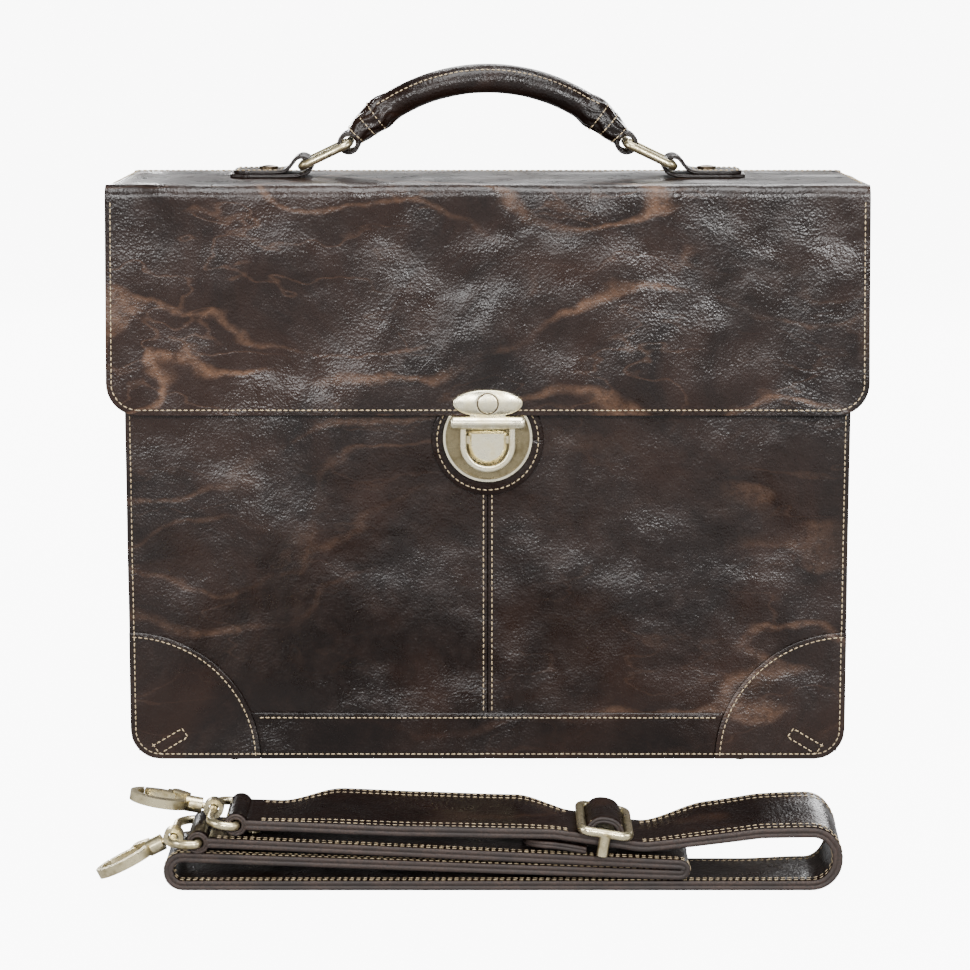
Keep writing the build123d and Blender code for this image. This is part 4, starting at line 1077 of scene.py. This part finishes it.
# ---------------------------------------------------------------- side tabs
# Folded straps riveted high on both side gussets, with a D-ring for the shoulder strap's hooks.
SIDE_FACE, SIDE_RIVET_Z = 0.1910, 0.286
side_seams = []
for side, hand in ((-1, "left"), (1, "right")):
    line = [(0.1883, 0.2990), (0.1883, 0.2820), (0.1883, 0.2690), (0.1886, 0.2640), (0.1895, 0.2597),
            (0.1925, 0.2583), (0.1955, 0.2597), (0.1963, 0.2625), (0.1945, 0.2660), (0.1914, 0.2690),
            (0.1902, 0.2740), (0.1901, 0.2860), (0.1901, 0.2985)]
    tab = leather_run(f"side_tab_{hand}", smooth_route([(side * x, z) for x, z in line]), 0.0016, 0.0,
                      tab_half(0.0140), trim_hide, cut_edge)
    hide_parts("side_tabs")
    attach(tab, "root")
    side_seams.append([Vector((side * SIDE_FACE, y, z)) for y, z in
                       ((-0.0120, 0.2735), (-0.0120, 0.2965), (0.0120, 0.2965), (0.0120, 0.2735), (-0.0120, 0.2735))])
    head = domed(f"side_rivet_{hand}", side * 0.1909, 0.0, SIDE_RIVET_Z, 0.0040, 0.0020,
                 "+x" if side > 0 else "-x", bronze)
    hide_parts("side_rivets")
    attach(head, "root")
side_stitches = sew("side_tab_stitches", side_seams, pitch=0.0027, length=0.0021, thickness=0.0006)
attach(side_stitches, "root")

# ---------------------------------------------------------------- shoulder strap
# Two thick layers of hide sewn together, 38 mm wide with raw red-brown edges, folded four times
# over on the floor. Its ends loop round D-rings, and the lower one is riveted.
STRAP_Y, STRAP_HALF, STRAP_THICK = -0.253, 0.019, 0.0045


strap_hide = leather("strap_hide", (0.0026, 0.0011, 0.0008), (0.0070, 0.0028, 0.0018), (0.030, 0.014, 0.008),
                     creasing=0.4, relief=0.00013, wax=0.0, shine=0.12)
raw_edge, raw_tree, raw_shader = new_material("raw_edge")
on_edge = place_on(raw_tree)
fibre = noise_on(raw_tree, on_edge, 900.0, 4.0, 0.7)
stain = noise_on(raw_tree, on_edge, 60.0, 3.0)
raw_tone = mixed(raw_tree, band(raw_tree, fibre, 0.3, 0.7), (0.010, 0.0055, 0.0040, 1), (0.036, 0.0195, 0.0135, 1))
raw_tone = mixed(raw_tree, band(raw_tree, stain, 0.42, 0.7), raw_tone, (0.011, 0.006, 0.0045, 1))
raw_bump = put(raw_tree, "ShaderNodeBump", {"Height": fibre}, Strength=0.8, Distance=0.0003)
feed(raw_tree, raw_shader, {"Base Color": raw_tone, "Normal": raw_bump.outputs["Normal"], "Roughness": 0.7})


def rounded_route(corners, radii, step=0.003):
    """Straight runs joined by arcs, in small even steps."""
    route = [corners[0]]
    for (before, corner, after), radius in zip(zip(corners, corners[1:], corners[2:]), radii):
        a = (Vector(before) - Vector(corner)).normalized()
        b = (Vector(after) - Vector(corner)).normalized()
        half = a.angle(b) / 2
        reach = radius / tan(half)
        centre = Vector(corner) + (a + b).normalized() * radius / sin(half)
        start, end = Vector(corner) + a * reach, Vector(corner) + b * reach
        from_centre = start - centre
        sweep_angle = pi - 2 * half
        turn = 1 if a.x * b.y - a.y * b.x < 0 else -1
        count = max(3, int(radius * sweep_angle / step * 2))
        run = start - Vector(route[-1])
        for i in range(1, int(run.length / step)):
            route.append(tuple(Vector(route[-1]) + run.normalized() * step))
        for i in range(count + 1):
            angle = turn * sweep_angle * i / count
            route.append((centre.x + from_centre.x * cos(angle) - from_centre.y * sin(angle),
                          centre.y + from_centre.x * sin(angle) + from_centre.y * cos(angle)))
    run = Vector(corners[-1]) - Vector(route[-1])
    last = Vector(route[-1])
    route += [tuple(last + run * i / 12) for i in range(1, 13)]
    return route


GLIDE_A, GLIDE_B = (0.0300, 0.0270), (0.0710, 0.0205)  # the sloping stretch that the adjuster sits on
strap_corners = [(-0.1120, 0.0310), (-0.0400, 0.0280), GLIDE_A, GLIDE_B, (0.1250, 0.0270), (0.1604, 0.0270),
                 (0.1604, 0.00225), (-0.1466, 0.00225), (-0.1466, 0.0158), (0.0906, 0.0071), (0.0906, 0.0120),
                 (-0.1050, 0.0215), (-0.1295, 0.0225)]
bend_radii = [0.2, 0.03, 0.03, 0.06, 0.012, 0.012, 0.0065, 0.0064, 0.0023, 0.0023, 0.06]
strap_route = rounded_route(strap_corners, bend_radii)
strap_places = [0.0]
for (xa, za), (xb, zb) in zip(strap_route, strap_route[1:]):
    strap_places.append(strap_places[-1] + sqrt((xb - xa) ** 2 + (zb - za) ** 2))


def strap_lean(t, y):
    """The top run lies a little on its side: its far edge stands higher than its near one."""
    run = strap_places[round(t * (len(strap_route) - 1))]
    tip = lerp_table(run, ((0.0, 0.0), (0.015, 0.0), (0.045, 1.0), (0.125, 0.85), (0.150, 0.0), (0.185, 0.0),
                           (0.215, 0.8), (0.262, 1.0), (0.300, 0.15), (0.330, 0.0), (9.0, 0.0)))
    wave = 0.0007 * noise.noise(Vector((run * 22, y * 8, 3.3))) * min(1.0, run / 0.03)
    return 0.0075 * tip * (y + STRAP_HALF) / (2 * STRAP_HALF) + (wave if run < 0.27 else 0.0)


strap = leather_run("shoulder_strap_hide", strap_route, STRAP_THICK, STRAP_Y, lambda t: STRAP_HALF, strap_hide,
                    raw_edge, lean=strap_lean)
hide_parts("shoulder_strap")
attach(strap, "strap")

OUTER_ROW, INNER_ROW = STRAP_HALF - 0.0022, STRAP_HALF - 0.0050
HUMP_X, HUMP_GAP = 0.0530, 0.0175
strap_seams = []
for offset in (-OUTER_ROW, -INNER_ROW, OUTER_ROW, INNER_ROW):
    for face in (-1, 1):
        seam = []
        for i in range(3, len(strap_route) - 3):
            (xa, za), (x, z), (xb, zb) = strap_route[i - 1], strap_route[i], strap_route[i + 1]
            size = sqrt((xb - xa) ** 2 + (zb - za) ** 2)
            out = face * (STRAP_THICK / 2 + 0.0001)
            seam.append(Vector((x - (zb - za) / size * out, STRAP_Y + offset,
                                z + (xb - xa) / size * out + strap_lean(i / (len(strap_route) - 1), offset))))
        # the thread goes under the adjuster's hump, where it doesn't show
        runs = [[]]
        for p in seam:
            if abs(p.x - HUMP_X) < HUMP_GAP and p.z > 0.020:
                runs.append([])
            else:
                runs[-1].append(p)
        strap_seams += [run for run in runs if len(run) > 2]
strap_stitches = sew("strap_stitches", strap_seams, pitch=0.0030, length=0.0021, thickness=0.00042)
tan_thread, tan_tree, tan_shader = new_material("tan_thread")
wear = band(tan_tree, noise_on(tan_tree, place_on(tan_tree), 60.0, 3.0), 0.38, 0.66)
feed(tan_tree, tan_shader, {
    "Base Color": mixed(tan_tree, wear, (0.21, 0.155, 0.105, 1), (0.085, 0.058, 0.040, 1)), "Roughness": 0.65})
strap_stitches.data.materials[0] = tan_thread
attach(strap_stitches, "strap")

for eye_name, (x, z) in (("upper", (-0.1155, 0.0310)), ("lower", (-0.1330, 0.0225))):
    eye = leather_run(f"strap_eye_{eye_name}", ring_route(x, z, 0.0039), 0.0026, STRAP_Y, lambda t: STRAP_HALF,
                      strap_hide, raw_edge, closed=True)
    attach(eye, "strap")

# ---------------------------------------------------------------- strap adjuster
# The strap's own end passes up over the slide's middle bar, is turned back under the run and sewn,
# with a rounded tip. The slide itself is cast and plated.
glide_x, glide_z = GLIDE_B[0] - GLIDE_A[0], GLIDE_B[1] - GLIDE_A[1]
glide_size = sqrt(glide_x ** 2 + glide_z ** 2)
glide_mid = (GLIDE_A[0] + glide_x * 0.56, GLIDE_A[1] + glide_z * 0.56)


def on_glide(u, w):
    """A point a length u along the sloping run from the slide's middle, and w off the strap's centre."""
    return (glide_mid[0] + (glide_x * u - glide_z * w) / glide_size,
            glide_mid[1] + (glide_z * u + glide_x * w) / glide_size)


hump_line = [on_glide(u, w) for u, w in ((-0.0078, 0.0030), (-0.0066, 0.0062), (-0.0040, 0.0088), (0.0, 0.0096),
                                         (0.0040, 0.0088), (0.0066, 0.0062), (0.0078, 0.0030))]
hump = leather_run("strap_hump", smooth_route(hump_line, 6), 0.0030, STRAP_Y, lambda t: 0.0180, strap_hide,
                   raw_edge)
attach(hump, "strap_adjuster")
end_line = [(0.0160, 0.0212), (0.0240, 0.0216), (0.0310, 0.0212), (0.0390, 0.0200), (0.0450, 0.0189)]
sewn_end = leather_run("strap_sewn_end_hide", smooth_route(end_line, 6), 0.0032, STRAP_Y,
                       lambda t: STRAP_HALF * sqrt(1 - max(0.0, 1 - t / 0.35) ** 2 * 0.85), strap_hide, raw_edge)
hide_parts("strap_sewn_end")
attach(sewn_end, "strap_adjuster")
hump_top = [on_glide(u, w) for u, w in ((-0.0066, 0.0082), (-0.0035, 0.0101), (0.0, 0.0108), (0.0035, 0.0101),
                                        (0.0066, 0.0082))]
hump_seams = [[Vector((x, STRAP_Y + y, z)) for x, z in hump_top] for y in (-0.0158, 0.0158)]
hump_stitches = sew("hump_stitches", hump_seams, pitch=0.0030, length=0.0021, thickness=0.0006)
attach(hump_stitches, "strap_adjuster")
